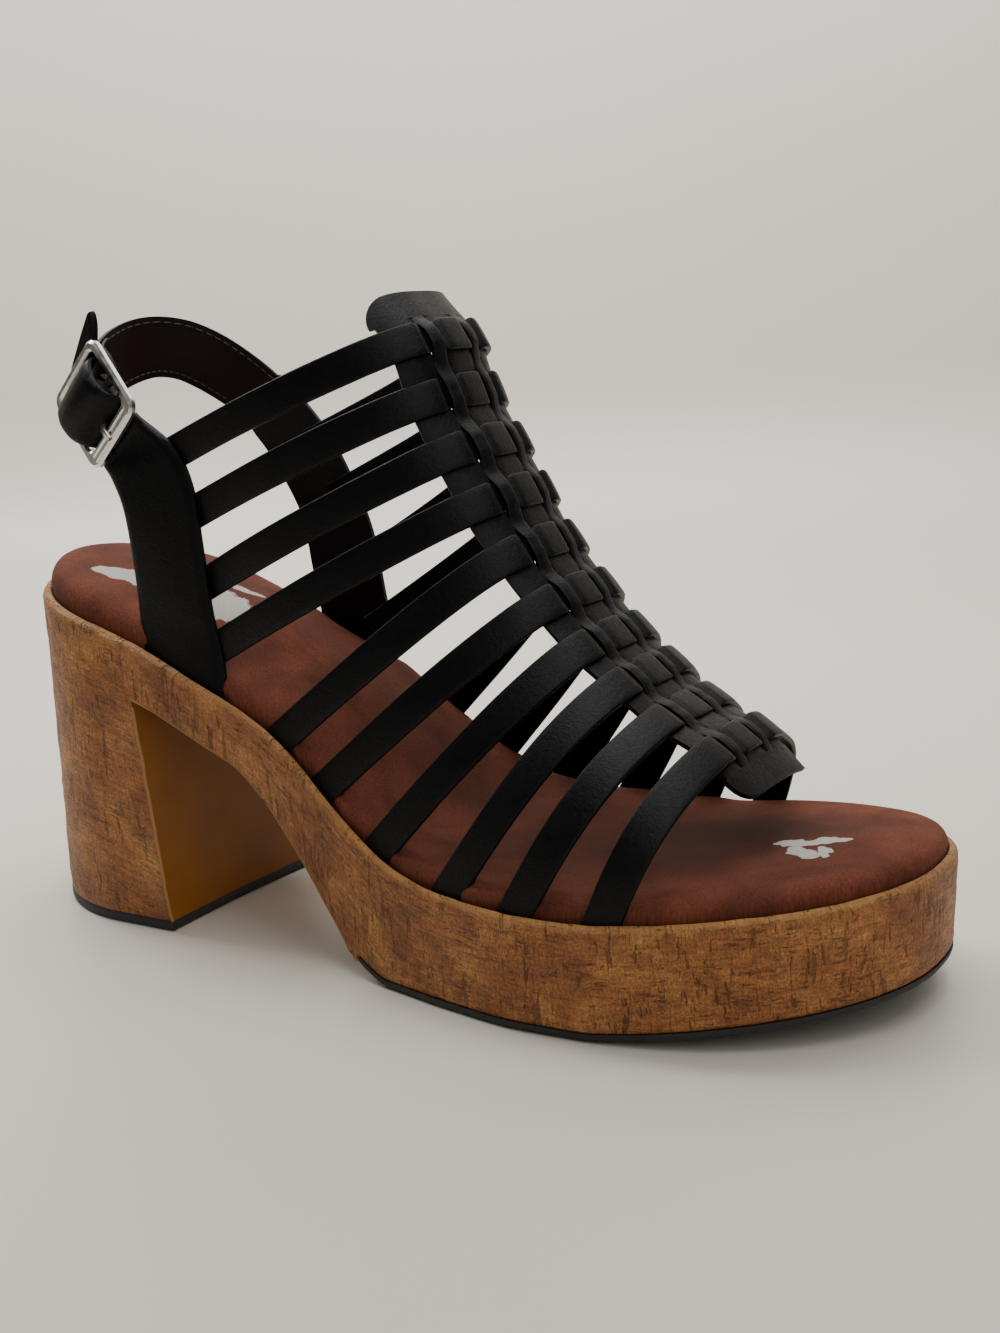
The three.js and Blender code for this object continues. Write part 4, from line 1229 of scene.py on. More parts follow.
def strip_section(width, thickness, edge_round, crown=0.0):
    """Cross-section of a strip with rounded edges, and a crown where its middle is thicker."""
    points = []
    r = min(edge_round, thickness / 2, width / 2)
    for corner_x, corner_z, start in (
        (width / 2 - r, r, -90), (width / 2 - r, thickness - r, 0), (r - width / 2, thickness - r, 90),
        (r - width / 2, r, 180),
    ):
        for i in range(4):
            angle = math.radians(start + 30 * i)
            points.append([corner_x + r * math.cos(angle), corner_z + r * math.sin(angle)])
        if start == 0:
            for t in (0.3, 0, -0.3):
                points.append([t * width, thickness + crown * (1 - abs(t) * 1.5)])
    return points


def add_strip(skin, rows, finish=0):
    """Closed strip through rows of (place, across, out, section points, distance along)."""
    rings = []
    for at, across, out, section, distance in rows:
        ring = skin.add_points([at + across * x + out * z for x, z in section])
        girth = [0.0]
        for a, b in zip(section, section[1:] + section[:1]):
            girth.append(girth[-1] + math.hypot(a[0] - b[0], a[1] - b[1]))
        rings.append((ring, [(distance, g) for g in girth]))
    for (low, low_at), (high, high_at) in zip(rings, rings[1:]):
        skin.strip(low, high, low_at, high_at, finish=finish)
    for ring, turned in ((rings[0], True), (rings[-1], False)):
        corners = list(ring[0])
        places = list(ring[1][:-1])
        if turned:
            corners.reverse()
            places.reverse()
        skin.add_face(corners, places, finish)


# Height of a strap over the panel and its width, against the distance from the ridge: over the middle slit strip,
# under the narrow one, over the outer one and down on to the foot
weave_rows = [
    (0.0, 1.28, 1.03),
    (3.2, 1.24, 1.03),
    (4.2, 1.02, 1.01),
    (5.1, 0.45, 0.92),
    (6.0, 0.05, 0.84),
    (9.2, 0.02, 0.84),
    (9.9, 0.20, 0.92),
    (10.5, 0.75, 0.99),
    (11.1, 1.28, 1.00),
    (12.0, 1.45, 1.00),
    (15.5, 1.45, 1.00),
    (18.5, 1.20, 1.00),
    (23.0, 0.55, 1.00),
    (27.0, 0.35, 1.00),
]
weave_height = through(weave_rows, 1)
weave_width = through(weave_rows, 2)
weave_places = [0, 1.3, 2.6, 3.6, 4.2, 4.7, 5.1, 5.5, 5.9, 6.4, 7.2, 8.0, 8.5, 8.9, 9.3, 9.7, 10.1, 10.6, 11.5, 12.8,
                14.2, 15.6, 17, 18.5]
upper = Skin()
strap_wobble = random.Random(11)
for number in range(1, strap_count + 1):
    halves = {}
    phase = strap_wobble.uniform(0, 6)
    for side in (-1, 1):
        limit = abs(strap_end(number, side).y)
        places = [(up_at(number, side, y), y) for y in weave_places if y < limit - 1.5]
        lowest = places[-1][0]
        steps_down = 44
        for i in range(1, steps_down + 1):
            up = lowest * (1 - i / steps_down)
            places.append((up, abs(last_point(number, side, up).y)))
        halves[side] = places
    rows = []
    whole = [(-1, *p) for p in reversed(halves[-1])] + [(1, *p) for p in halves[1][1:]]
    distance = 0.0
    last = None
    for side, up, y in whole:
        at, _, across, out = last_frame(number, side, up)
        if last is not None:
            distance += (at - last).length
        last = at
        width = strap_width * weave_width(y) * (1 + 0.012 * math.sin(distance / 9 + phase))
        lift = weave_height(y) if y < 27 else strap_lift
        lift += wave_height * math.sin(distance / wave_length + phase) * (1 if y > 20 else 0)
        if number < first_grooved_strap:
            lift -= tuck_depth * max(0.0, 1 - up / tuck_reach) ** 1.5
        thickness = strap_thickness * (0.86 if y < 10 else 1.0)
        section = strip_section(width, thickness, strap_edge, strap_crown)
        rows.append((at + out * lift, across, out, section, distance))
    if number < first_grooved_strap:
        for place, beside, reach in ((0, 1, -hidden_end), (len(rows), -2, hidden_end)):
            at, across, out, section, distance = rows[min(place, len(rows) - 1)]
            way = (at - rows[beside][0]).normalized()
            rows.insert(place, (at + way * hidden_end, across, out, section, distance + reach))
    add_strip(upper, rows)

# Slit panel on the instep: one piece with a tab at each end, slit into five strips between them. The two narrow
# strips are pulled up over each strap and sink between the straps.
panel_half = 17.5
panel_thickness = 1.4
narrow_inner = 5.1
narrow_outer = 9.4
slit = 0.12
strip_overlap = 0.1
outer_strip_inset = 0.8
narrow_rise = 1.3
narrow_pinch = 0.4
narrow_thickness = 1.2
narrow_base = 0.2
tab_round = 7.5
tab_start = 0.0
tab_thickness = panel_thickness + 0.03
spine_pitch = (strap_top(strap_count) - strap_top(1)).length / (strap_count - 1)


def surface_place(number, y):
    """Frame on the last at a signed distance from the ridge."""
    side = -1 if y < 0 else 1
    return last_frame(number, side, up_at(number, side, y))


def over_strap(number):
    """1 over a strap, 0 half-way between two straps."""
    if number < 0.5 or number > strap_count + 0.5:
        return 0.0
    away = abs(number - round(number))
    return 0.5 + 0.5 * math.cos(2 * math.pi * max(0.0, away - 0.1) / 0.8)


def panel_strip(inner, outer, from_number, to_number, rise, pinch, columns, thickness=panel_thickness, base=0.0,
                corner=0.0, step=0.06, edge_drop=0.2, square_side=0):
    """Strip of the panel between two distances from the ridge; over a strap, rise lifts it and pinch narrows it."""
    count = max(2, round((to_number - from_number) / step))
    numbers = [from_number + (to_number - from_number) * i / count for i in range(count + 1)]
    rows_in, rows_out = [], []
    distances = []
    distance = 0.0
    last = None
    for number in numbers:
        over = over_strap(number)
        narrow = pinch * over
        cut = 0.0
        if corner:
            from_end = min(number - from_number if from_number < 0.3 else 99, to_number - number
                           if to_number > strap_count + 0.7 else 99) * spine_pitch
            if from_end < corner:
                cut = corner - math.sqrt(max(0.0, corner**2 - (corner - from_end) ** 2))
        a = inner + narrow + (cut if inner < 0 and square_side != -1 else 0)
        b = outer - narrow - (cut if square_side != 1 else 0)
        lift = base + rise * over
        row_in, row_out = [], []
        for i in range(columns + 1):
            t = i / columns
            at, _, _, out = surface_place(number, a + (b - a) * t)
            rounded = edge_drop * (abs(2 * t - 1) ** 5)
            row_in.append(at + out * lift)
            row_out.append(at + out * (lift + thickness - rounded))
        middle = row_out[columns // 2]
        if last is not None:
            distance += (middle - last).length
        last = middle
        distances.append(distance)
        rows_in.append(row_in)
        rows_out.append(row_out)
    ids_in = [upper.add_points(row) for row in rows_in]
    ids_out = [upper.add_points(row) for row in rows_out]
    width = abs(outer - inner)
    across = [width * i / columns for i in range(columns + 1)]
    for i in range(count):
        low, high = distances[i], distances[i + 1]
        at_low = [(low, v) for v in across]
        at_high = [(high, v) for v in across]
        upper.strip(ids_out[i], ids_out[i + 1], at_low + at_low[:1], at_high + at_high[:1], closed=False)
        upper.strip(ids_in[i + 1], ids_in[i], at_high + at_high[:1], at_low + at_low[:1], closed=False)
        for column, turned in ((0, False), (columns, True)):
            corners = [ids_in[i][column], ids_out[i][column], ids_out[i + 1][column], ids_in[i + 1][column]]
            places = [(low, 0), (low, panel_thickness), (high, panel_thickness), (high, 0)]
            if turned:
                corners.reverse()
                places.reverse()
            upper.add_face(corners, places)
    for i, turned in ((0, True), (count, False)):
        at = [(distances[i], v) for v in across]
        low, high = (ids_in[i], ids_out[i]) if not turned else (ids_out[i], ids_in[i])
        upper.strip(low, high, at + at[:1], at + at[:1], closed=False)


slit_top = 0.55
slit_end = strap_count + 0.45
panel_strip(-narrow_inner + slit, narrow_inner - slit, slit_top - strip_overlap, slit_end + strip_overlap, 0, 0, 10)
for side in (-1, 1):
    inner, outer = sorted((side * (narrow_outer + slit), side * (panel_half - outer_strip_inset)))
    panel_strip(inner, outer, slit_top - strip_overlap, slit_end + strip_overlap, 0, 0, 7)
    inner, outer = sorted((side * narrow_inner, side * narrow_outer))
    panel_strip(inner, outer, slit_top - slit, slit_end + slit, narrow_rise, narrow_pinch, 8,
                thickness=narrow_thickness, base=narrow_base, step=0.025, edge_drop=0.35)
for start, end in ((tab_start, slit_top), (slit_end, strap_count + 1.0)):
    panel_strip(-panel_half, panel_half, start, end, 0, 0, 26, thickness=tab_thickness, corner=tab_round, step=0.02,
                square_side=1)

# Quarters: folded leather walls that stand in the groove on each side of the heel and carry the upper straps. The
# outer one goes on as the billet, which runs through the buckle and bulges over its hinge bar.
quarter_thickness = 2.2
outer_wall_thickness = 1.9
wall_columns = 16
billet_bulge = 0.9
ankle_base = rim_height(quarter_foot_share)


def ankle_point(x, y, z):
    """Place round the ankle from shares of the length, of half its width and of the collar's height."""
    return Vector((x * sole_length, y * ankle_width / 2, ankle_base + z * collar_height))


def groove_point(x, side):
    """Foot of a quarter in the groove beside the footbed, at share x of the length."""
    return Vector((x * sole_length, outline(x, side, wall_inset)[1], rim_height(x) - groove_depth))


def along_points(points, place):
    """Place on the smooth curve through points; 0 is the first point and 1 the next."""
    i = min(int(place), len(points) - 2)
    t = place - i
    b, c = points[i], points[i + 1]
    a = points[i - 1] if i else b * 2 - c
    d = points[i + 2] if i + 2 < len(points) else c * 2 - b
    return (2 * b + (c - a) * t + (2 * a - 5 * b + 4 * c - d) * t * t + (3 * b - a - 3 * c + d) * t**3) / 2


# Back edge and front edge of the quarters from the foot up: for each its place as a share of the length and its
# height as a share of the collar's height, and then how far out they are as a share of the ankle's half-width
outer_quarter_rows = [
    (0.201, 0.120, 0.306, 0.060, 1.005),
    (0.199, 0.280, 0.297, 0.170, 1.010),
    (0.191, 0.450, 0.290, 0.360, 1.005),
    (0.177, 0.540, 0.282, 0.525, 0.990),
    (0.166, 0.580, 0.260, 0.635, 0.975),
]
inner_quarter_rows = [
    (0.257, 0.100, 0.350, 0.065, 1.010),
    (0.250, 0.200, 0.346, 0.130, 1.020),
    (0.238, 0.375, 0.332, 0.340, 1.020),
    (0.207, 0.545, 0.304, 0.540, 0.975),
    (0.188, 0.620, 0.272, 0.680, 0.945),
    (0.176, 0.675, 0.228, 0.800, 0.925),
]


def quarter_knots(table, side):
    """Back point, front point and the way out, for the foot and for each row of a quarter's table."""
    back, front = (groove_point(x, side) for x in quarter_feet[side])
    out = Vector((0, side, 0))
    knots = [(back, front, out)]
    for back_x, back_z, front_x, front_z, y in table:
        knots.append((ankle_point(back_x, side * y, back_z), ankle_point(front_x, side * y, front_z), out))
    return knots


def wall_rows(knots, steps_each, bulge, bulge_end):
    """Rows of (point, out) of a wall through knots of back point, front point and the way out."""
    backs, fronts, outs = zip(*knots)
    rows = []
    count = (len(knots) - 1) * steps_each
    for i in range(count + 1):
        place = i / steps_each
        back, front, out = (along_points(list(side), place) for side in (backs, fronts, outs))
        out.normalize()
        rise = bulge * min(1.0, place) * max(0.0, 1 - place / bulge_end)
        row = []
        for j in range(wall_columns + 1):
            t = j / wall_columns
            row.append((back.lerp(front, t) + out * rise * math.sin(math.pi * t), out))
        rows.append(row)
    return rows


def add_wall(skin, rows, thickness, finish=0, inside=None):
    """Wall with rounded edges through rows of (inner point, out direction)."""
    columns = len(rows[0]) - 1
    inner_ids, outer_ids, heights = [], [], []
    height = 0.0
    for r, row in enumerate(rows):
        if r:
            height += (row[columns // 2][0] - rows[r - 1][columns // 2][0]).length
        heights.append(height)
        inner_ids.append(skin.add_points([p for p, _ in row]))
        width = (row[0][0] - row[-1][0]).length
        shaped = []
        for j, (p, out) in enumerate(row):
            from_edge = min(j, columns - j) / columns * width
            soft = 0.45 * thickness * max(0.0, 1 - from_edge / 1.2) ** 2
            shaped.append(p + out * (thickness - soft))
        outer_ids.append(skin.add_points(shaped))
    for i in range(len(rows) - 1):
        at = []
        for r in (i, i + 1):
            width = (rows[r][0][0] - rows[r][-1][0]).length
            at.append([(heights[r], width * j / columns) for j in range(columns + 1)] + [(0, 0)])
        skin.strip(outer_ids[i], outer_ids[i + 1], at[0], at[1], closed=False, finish=finish)
        skin.strip(
            inner_ids[i + 1], inner_ids[i], at[1], at[0], closed=False, finish=finish if inside is None else inside
        )
        for column, turned in ((0, False), (columns, True)):
            corners = [inner_ids[i][column], outer_ids[i][column], outer_ids[i + 1][column], inner_ids[i + 1][column]]
            places = [(heights[i], 0), (heights[i], thickness), (heights[i + 1], thickness), (heights[i + 1], 0)]
            if turned:
                corners.reverse()
                places.reverse()
            skin.add_face(corners, places, finish)
    for i, turned in ((0, True), (len(rows) - 1, False)):
        at = [(heights[i], float(j)) for j in range(columns + 2)]
        low, high = (inner_ids[i], outer_ids[i]) if not turned else (outer_ids[i], inner_ids[i])
        skin.strip(low, high, at, at, closed=False, finish=finish)


# Buckle's place: the strap runs up and back through it, and it faces outward
buckle_lean = math.radians(41)
buckle_turn = math.radians(11)
buckle_middle = ankle_point(0.157, -0.965, 0.752)
turned = Matrix.Rotation(-buckle_turn, 3, "Z")
strap_way = turned @ Vector((-math.sin(buckle_lean), 0, math.cos(buckle_lean)))
bar_way = turned @ Vector((math.cos(buckle_lean), 0, math.sin(buckle_lean)))
face_way = bar_way.cross(strap_way)


def in_buckle(bar, strap, face):
    """A place in the buckle: along its bars, along the strap and out from its middle."""
    return buckle_middle + bar_way * bar + strap_way * strap + face_way * face


frame_half = 12.25
frame_bar = 2.4
rest_bar_width = 4.4
fold_radius = 3.0
billet_width = 17
billet_thickness = 1.6
under_bar = -(frame_bar / 2 + clearance + billet_thickness)
over_fold = fold_radius + clearance
# Billet: place along the strap, height, offset along the bars and width as a share
billet_rows = [
    (-11.0, under_bar, 0, 1.0),
    (-8.4, under_bar, 0, 1.04),
    (-7.2, under_bar + 0.8, 0, 1.08),
    (-6.2, under_bar + 2.5, 0, 1.12),
    (-5.0, over_fold - 1.7, 0, 1.13),
    (-3.8, over_fold - 0.2, 0, 1.13),
    (-2.0, over_fold + 0.7, 0, 1.13),
    (0.5, over_fold + 1.0, 0, 1.13),
    (3.0, over_fold + 0.5, 0, 1.13),
    (5.2, over_fold - 0.4, 0, 1.13),
    (7.0, over_fold - 1.8, 0, 1.12),
    (8.3, under_bar + 1.9, 0, 1.05),
    (9.4, under_bar + 0.3, 0, 1.0),
    (11.5, under_bar, 0.2, 1.0),
    (13.2, under_bar, 2.6, 0.94),
    (14.9, under_bar, 5.9, 0.78),
    (16.5, under_bar, 9.4, 0.52),
    (17.8, under_bar, 12.3, 0.24),
    (18.5, under_bar, 13.8, 0.06),
]
outer_knots = quarter_knots(outer_quarter_rows, -1)
for strap, face, offset, share in billet_rows:
    half = share * billet_width / 2
    outer_knots.append((in_buckle(offset - half, strap, face), in_buckle(offset + half, strap, face), face_way))
knot_steps = 6
outer_rows = wall_rows(outer_knots, knot_steps, bulge=1.2, bulge_end=5)
bulge_first = (len(outer_quarter_rows) + 3) * knot_steps
bulge_last = (len(outer_quarter_rows) + 12) * knot_steps
for i in range(bulge_first, bulge_last):
    rise = billet_bulge * math.sin(math.pi * (i - bulge_first) / (bulge_last - bulge_first))
    outer_rows[i] = [
        (point + out * rise * math.cos(math.pi * (j / wall_columns - 0.5)), out)
        for j, (point, out) in enumerate(outer_rows[i])
    ]
add_wall(upper, outer_rows, outer_wall_thickness)
add_wall(upper, wall_rows(quarter_knots(inner_quarter_rows, 1), 8, bulge=0.8, bulge_end=6), quarter_thickness)

# Spare hole in the quarter, below the rest bar: a rolled rim round a dark pit
hole_radius = 0.75
hole_row = outer_rows[len(outer_quarter_rows) * knot_steps - 2]
hole_middle, hole_out = hole_row[9]
hole_middle = hole_middle + hole_out * outer_wall_thickness
hole_side = Vector((0, 0, 1)).cross(hole_out).normalized()
hole_up = hole_out.cross(hole_side)
hole_rings = []
for radius, height in ((1.5, -0.05), (1.1, 0.14), (0.85, 0.1), (0.7, -0.1), (0.05, -0.1)):
    ring = []
    for i in range(16):
        angle = math.pi * i / 8
        way = hole_side * math.cos(angle) + hole_up * math.sin(angle)
        ring.append(hole_middle + way * (radius * hole_radius) + hole_out * height)
    hole_rings.append(upper.add_points(ring))
for low, high in zip(hole_rings, hole_rings[1:]):
    upper.strip(low, high, [(0, 0)] * 17, [(0, 0)] * 17)

# Coated leather: black, nearly smooth and satin, with a fine pebble that breaks up its highlights and faint creases
# across the strips. The pebble is drawn at 0.55 mm, a little coarser than it is.
pebble_size = 0.55
leather_grain_size = 1.11
leather_cloud_size = 8.33
crease_width = 1.11
crease_length = 8.33
coated_leather = new_material("coated_leather")
leather_at = add_node(coated_leather, "ShaderNodeTexCoord", {})
leather_mm = add_node(
    coated_leather, "ShaderNodeVectorMath", {0: leather_at.outputs["Object"], "Scale": 1000.0}, operation="SCALE"
)
pebbles = add_node(
    coated_leather,
    "ShaderNodeTexVoronoi",
    {"Vector": leather_mm.outputs[0], "Scale": 1 / pebble_size},
    feature="SMOOTH_F1",
)
leather_noise = add_node(
    coated_leather,
    "ShaderNodeTexNoise",
    {"Vector": leather_mm.outputs[0], "Scale": 1 / leather_grain_size, "Detail": 5.0, "Roughness": 0.65},
)
leather_cloud = add_node(
    coated_leather,
    "ShaderNodeTexNoise",
    {"Vector": leather_mm.outputs[0], "Scale": 1 / leather_cloud_size, "Detail": 4.0},
)
strip_at = add_node(coated_leather, "ShaderNodeUVMap", {}, uv_map="millimetres")
crease_map = add_node(
    coated_leather,
    "ShaderNodeMapping",
    {"Vector": strip_at.outputs[0], "Scale": (1 / crease_width, 1 / crease_length, 1)},
)
creases = add_node(
    coated_leather,
    "ShaderNodeTexNoise",
    {"Vector": crease_map.outputs[0], "Scale": 1.0, "Detail": 4.0, "Distortion": 0.6},
)
leather_colour = add_node(
    coated_leather,
    "ShaderNodeMix",
    {"Factor": leather_cloud.outputs["Fac"], 6: linear("#040406"), 7: linear("#0a0b0e")},
    data_type="RGBA",
)
leather_rough = add_node(
    coated_leather,
    "ShaderNodeMapRange",
    {"Value": leather_noise.outputs["Fac"], "From Min": 0.3, "From Max": 0.7, "To Min": 0.36, "To Max": 0.54},
)
leather_height = add_node(
    coated_leather,
    "ShaderNodeMath",
    {0: pebbles.outputs["Distance"], 1: 0.5, 2: leather_noise.outputs["Fac"]},
    operation="MULTIPLY_ADD",
)
leather_creased = add_node(
    coated_leather,
    "ShaderNodeMath",
    {0: creases.outputs["Fac"], 1: 0.25, 2: leather_height.outputs[0]},
    operation="MULTIPLY_ADD",
)
leather_bump = add_node(
    coated_leather, "ShaderNodeBump", {"Height": leather_creased.outputs[0], "Strength": 0.4, "Distance": 0.0003}
)
leather_shader = add_node(
    coated_leather,
    "ShaderNodeBsdfPrincipled",
    {
        "Base Color": leather_colour.outputs[2],
        "Roughness": leather_rough.outputs[0],
        "Normal": leather_bump.outputs[0],
        "Specular IOR Level": 0.18,
    },
)
finish_material(coated_leather, leather_shader)
upper_piece = upper.piece("strap_upper", "upper", coated_leather, 50)

# Back strap
# Black coated leather outside and a dark red-brown lining inside, stitched along both edges. It is folded round the
# buckle's hinge bar, goes round behind the heel and laps over the inner quarter, where it is stitched down.
back_strap_width = 16.5
back_strap_thickness = 1.7
heel_turn_share = 0.2
thread_rows = [
    (0, -fold_radius),
    (fold_radius, under_bar - 1.3),
    (2 * fold_radius, under_bar - 2 * clearance - back_strap_thickness),
    (3 * fold_radius, under_bar - 3 * clearance - back_strap_thickness),
]
back_strap_rows = [
    (0.122, -0.560, 0.815), (0.109, -0.290, 0.848), (0.104, -0.020, 0.877), (0.106, 0.230, 0.896),
    (0.114, 0.430, 0.899), (0.128, 0.620, 0.884), (0.146, 0.780, 0.848), (0.168, 0.920, 0.795),
    (0.194, 1.040, 0.727), (0.226, 1.090, 0.635), (0.254, 1.115, 0.535),
]


def smooth_path(points, count):
    """Even places along the smooth curve through points, each with the way it goes and its distance."""
    dense = [along_points(points, i / 24) for i in range(24 * (len(points) - 1) + 1)]
    run = [0.0]
    for a, b in zip(dense, dense[1:]):
        run.append(run[-1] + (b - a).length)
    places = []
    j = 0
    for i in range(count + 1):
        target = run[-1] * i / count
        while j < len(run) - 2 and run[j + 1] < target:
            j += 1
        t = (target - run[j]) / max(1e-9, run[j + 1] - run[j])
        places.append((dense[j].lerp(dense[j + 1], t), (dense[j + 1] - dense[j]).normalized(), target))
    return places


back_strap = Skin()
strap_path = smooth_path(
    [in_buckle(0, strap, face) for strap, face in thread_rows] + [ankle_point(*row) for row in back_strap_rows], 150
)
strap_cells = []
for at, way, distance in strap_path:
    behind = min(0.0, at.x / sole_length - heel_turn_share) * sole_length
    round_way = Vector((behind, at.y, 0)).normalized()
    share = min(1.0, distance / 22)
    out = face_way.lerp(round_way, share).normalized()
    across = way.cross(out).normalized()
    out = across.cross(way)
    strap_cells.append((at, way, across, out, distance))
add_wall(
    back_strap,
    [
        [(at + across * ((j / 14 - 0.5) * back_strap_width), out) for j in range(15)]
        for at, _, across, out, _ in strap_cells
    ],
    back_strap_thickness,
    finish=0,
    inside=1,
)

# The end that is folded back round the hinge bar lies on the lining, and is black like the outside
fold_back_start, fold_back_end = 7, 26
fold_back_thickness = 1.2
add_wall(
    back_strap,
    [
        [(at + across * ((j / 14 - 0.5) * back_strap_width * 0.97) - out * (fold_back_thickness + 0.05), out)
         for j in range(15)]
        for at, _, across, out, distance in strap_cells if fold_back_start < distance < fold_back_end
    ],
    fold_back_thickness,
)

# The fold round the hinge bar, on both sides of the prong
hinge_radius = 1.0
prong_room = 1.4
fold_from, fold_turn = -200, 320
for side in (-1, 1):
    near, far = side * prong_room, side * back_strap_width / 2
    rings = []
    for i in range(17):
        angle = math.radians(fold_from + fold_turn * i / 16)
        section = []
        for bar in (near, far):
            for radius in (hinge_radius + clearance, fold_radius):
                section.append(in_buckle(bar, -radius * math.cos(angle), radius * math.sin(angle)))
        ring = [section[0], section[1], section[3], section[2]]
        rings.append(back_strap.add_points(ring))
    for low, high in zip(rings, rings[1:]):
        back_strap.strip(low, high, [(0, 0)] * 5, [(1, 1)] * 5)
    back_strap.add_face(list(reversed(rings[0])), [(0, 0)] * 4)
    back_strap.add_face(rings[-1], [(0, 0)] * 4)

# Lining: coated split leather, dark red-brown and duller than the outside, with a grain of 1.1 mm
lining_grain_size = 1.11
lining_leather = new_material("red_brown_lining")
lining_at = add_node(lining_leather, "ShaderNodeTexCoord", {})
lining_grain = add_node(
    lining_leather,
    "ShaderNodeTexNoise",
    {"Vector": lining_at.outputs["Object"], "Scale": 1000 / lining_grain_size, "Detail": 5.0},
)
lining_colour = add_node(
    lining_leather,
    "ShaderNodeMix",
    {"Factor": lining_grain.outputs["Fac"], 6: linear("#100505"), 7: linear("#200a09")},
    data_type="RGBA",
)
lining_bump = add_node(
    lining_leather, "ShaderNodeBump", {"Height": lining_grain.outputs["Fac"], "Strength": 0.3, "Distance": 0.0002}
)
lining_shader = add_node(
    lining_leather,
    "ShaderNodeBsdfPrincipled",
    {
        "Base Color": lining_colour.outputs[2],
        "Roughness": 0.6,
        "Normal": lining_bump.outputs[0],
        "Specular IOR Level": 0.2,
    },
)
finish_material(lining_leather, lining_shader)
back_strap_piece = back_strap.piece("back_strap_leather", "back_strap", [coated_leather, lining_leather], 50)

# Stitching
# Waxed black thread, one stitch every 2.4 mm, 1.6 mm in from both edges of the back strap, on its lining side and
# its outside. It starts past the hinge bar's fold and goes on to the end of the lap.
stitch_pitch = 2.4
stitch_radius = 0.22
stitch_inset = 1.6
stitch_start = 10
stitches = Skin()


def add_stitch(a, b, out):
    """A short thread between two points, sunk at both ends."""
    way = (b - a).normalized()
    side_way = way.cross(out).normalized()
    up_way = side_way.cross(way)
    rings = []
    for t, radius, sink in [
        (0.04, 0.35, -0.16), (0.18, 0.9, 0.02), (0.5, 1.0, 0.07), (0.82, 0.9, 0.02), (0.96, 0.35, -0.16)
    ]:
        middle = a.lerp(b, t) + out * sink
        ring = []
        for i in range(6):
            angle = math.pi * i / 3
            ring.append(
                middle + (side_way * math.cos(angle) + up_way * math.sin(angle)) * (radius * stitch_radius)
            )
        rings.append(stitches.add_points(ring))
    for low, high in zip(rings, rings[1:]):
        stitches.strip(low, high, [(0, 0)] * 7, [(1, 1)] * 7)
    stitches.add_face(list(reversed(rings[0])), [(0, 0)] * 6)
    stitches.add_face(rings[-1], [(0, 0)] * 6)


strap_run = strap_cells[-1][4]
stitch_count = int((strap_run - stitch_start) / stitch_pitch)
for i in range(stitch_count):
    ends = []
    for distance in (stitch_start + i * stitch_pitch, stitch_start + (i + 1) * stitch_pitch):
        place = distance / strap_run * (len(strap_cells) - 1)
        low = min(int(place), len(strap_cells) - 2)
        t = place - low
        ends.append([
            strap_cells[low][k].lerp(strap_cells[low + 1][k], t) for k in (0, 2, 3)
        ])
    for half in (-1, 1):
        offset = half * (back_strap_width / 2 - stitch_inset)
        for height, sign in ((back_strap_thickness - 0.02, 1), (0.02, -1)):
            a, b = (at + across * offset + out * height for at, across, out in ends)
            add_stitch(a, b, ends[0][2] * sign)

# Waxed polyester thread: black and slightly shiny, with a twist every 0.9 mm. A wave's period is 2 pi over ten times
# its scale.
twist_pitch = 0.9
waxed_thread = new_material("waxed_polyester_thread")
thread_at = add_node(waxed_thread, "ShaderNodeTexCoord", {})
thread_twist = add_node(
    waxed_thread,
    "ShaderNodeTexWave",
    {"Vector": thread_at.outputs["Object"], "Scale": 200 * math.pi / twist_pitch},
    bands_direction="DIAGONAL",
)
thread_bump = add_node(
    waxed_thread, "ShaderNodeBump", {"Height": thread_twist.outputs["Fac"], "Strength": 0.4, "Distance": 0.0001}
)
thread_shader = add_node(
    waxed_thread,
    "ShaderNodeBsdfPrincipled",
    {"Base Color": linear("#1c1a1b"), "Roughness": 0.45, "Normal": thread_bump.outputs[0]},
)
finish_material(waxed_thread, thread_shader)
stitch_piece = stitches.piece("back_strap_stitching", None, waxed_thread, 60)

# Buckle frame and prong
# Die-cast zinc, chrome plated: a rounded square with bevelled bars and a broad grooved bar where the prong rests.
# The back strap holds it by the hinge bar across its middle. It is shown fastened.
frame_width = 25.5
frame_corner = 3.6
bar_height = 2.4
buckle = Skin()


def rounded_square(half_width, back, front, corner):
    """Points round the buckle's opening or outside, in the buckle's own axes."""
    points = []
    for x, y, start in (
        (half_width - corner, back + corner, -90), (half_width - corner, front - corner, 0),
        (corner - half_width, front - corner, 90), (corner - half_width, back + corner, 180),
    ):
        for i in range(9):
            angle = math.radians(start + 90 * i / 8)
            points.append((x + corner * math.cos(angle), y + corner * math.sin(angle)))
    return points


bar_bevel = 0.7
outer_loop = rounded_square(frame_width / 2, -frame_half, frame_half, frame_corner)
outer_bevelled = rounded_square(
    frame_width / 2 - bar_bevel, -frame_half + bar_bevel, frame_half - bar_bevel, frame_corner - bar_bevel
)
inner_half = frame_width / 2 - frame_bar - 0.3
inner_back = -frame_half + rest_bar_width
inner_front = frame_half - frame_bar
inner_corner = frame_corner - frame_bar + 0.5
inner_loop = rounded_square(inner_half, inner_back, inner_front, inner_corner)
inner_bevelled = rounded_square(
    inner_half + bar_bevel, inner_back - bar_bevel, inner_front + bar_bevel, inner_corner + bar_bevel
)
half_height = bar_height / 2
buckle_rings = []
for loop, face in (
    (outer_loop, -half_height + bar_bevel), (outer_loop, half_height - bar_bevel), (outer_bevelled, half_height),
    (inner_bevelled, half_height), (inner_loop, half_height - bar_bevel), (inner_loop, -half_height + bar_bevel),
    (inner_bevelled, -half_height), (outer_bevelled, -half_height),
):
    buckle_rings.append(buckle.add_points([in_buckle(x, y, face) for x, y in loop]))
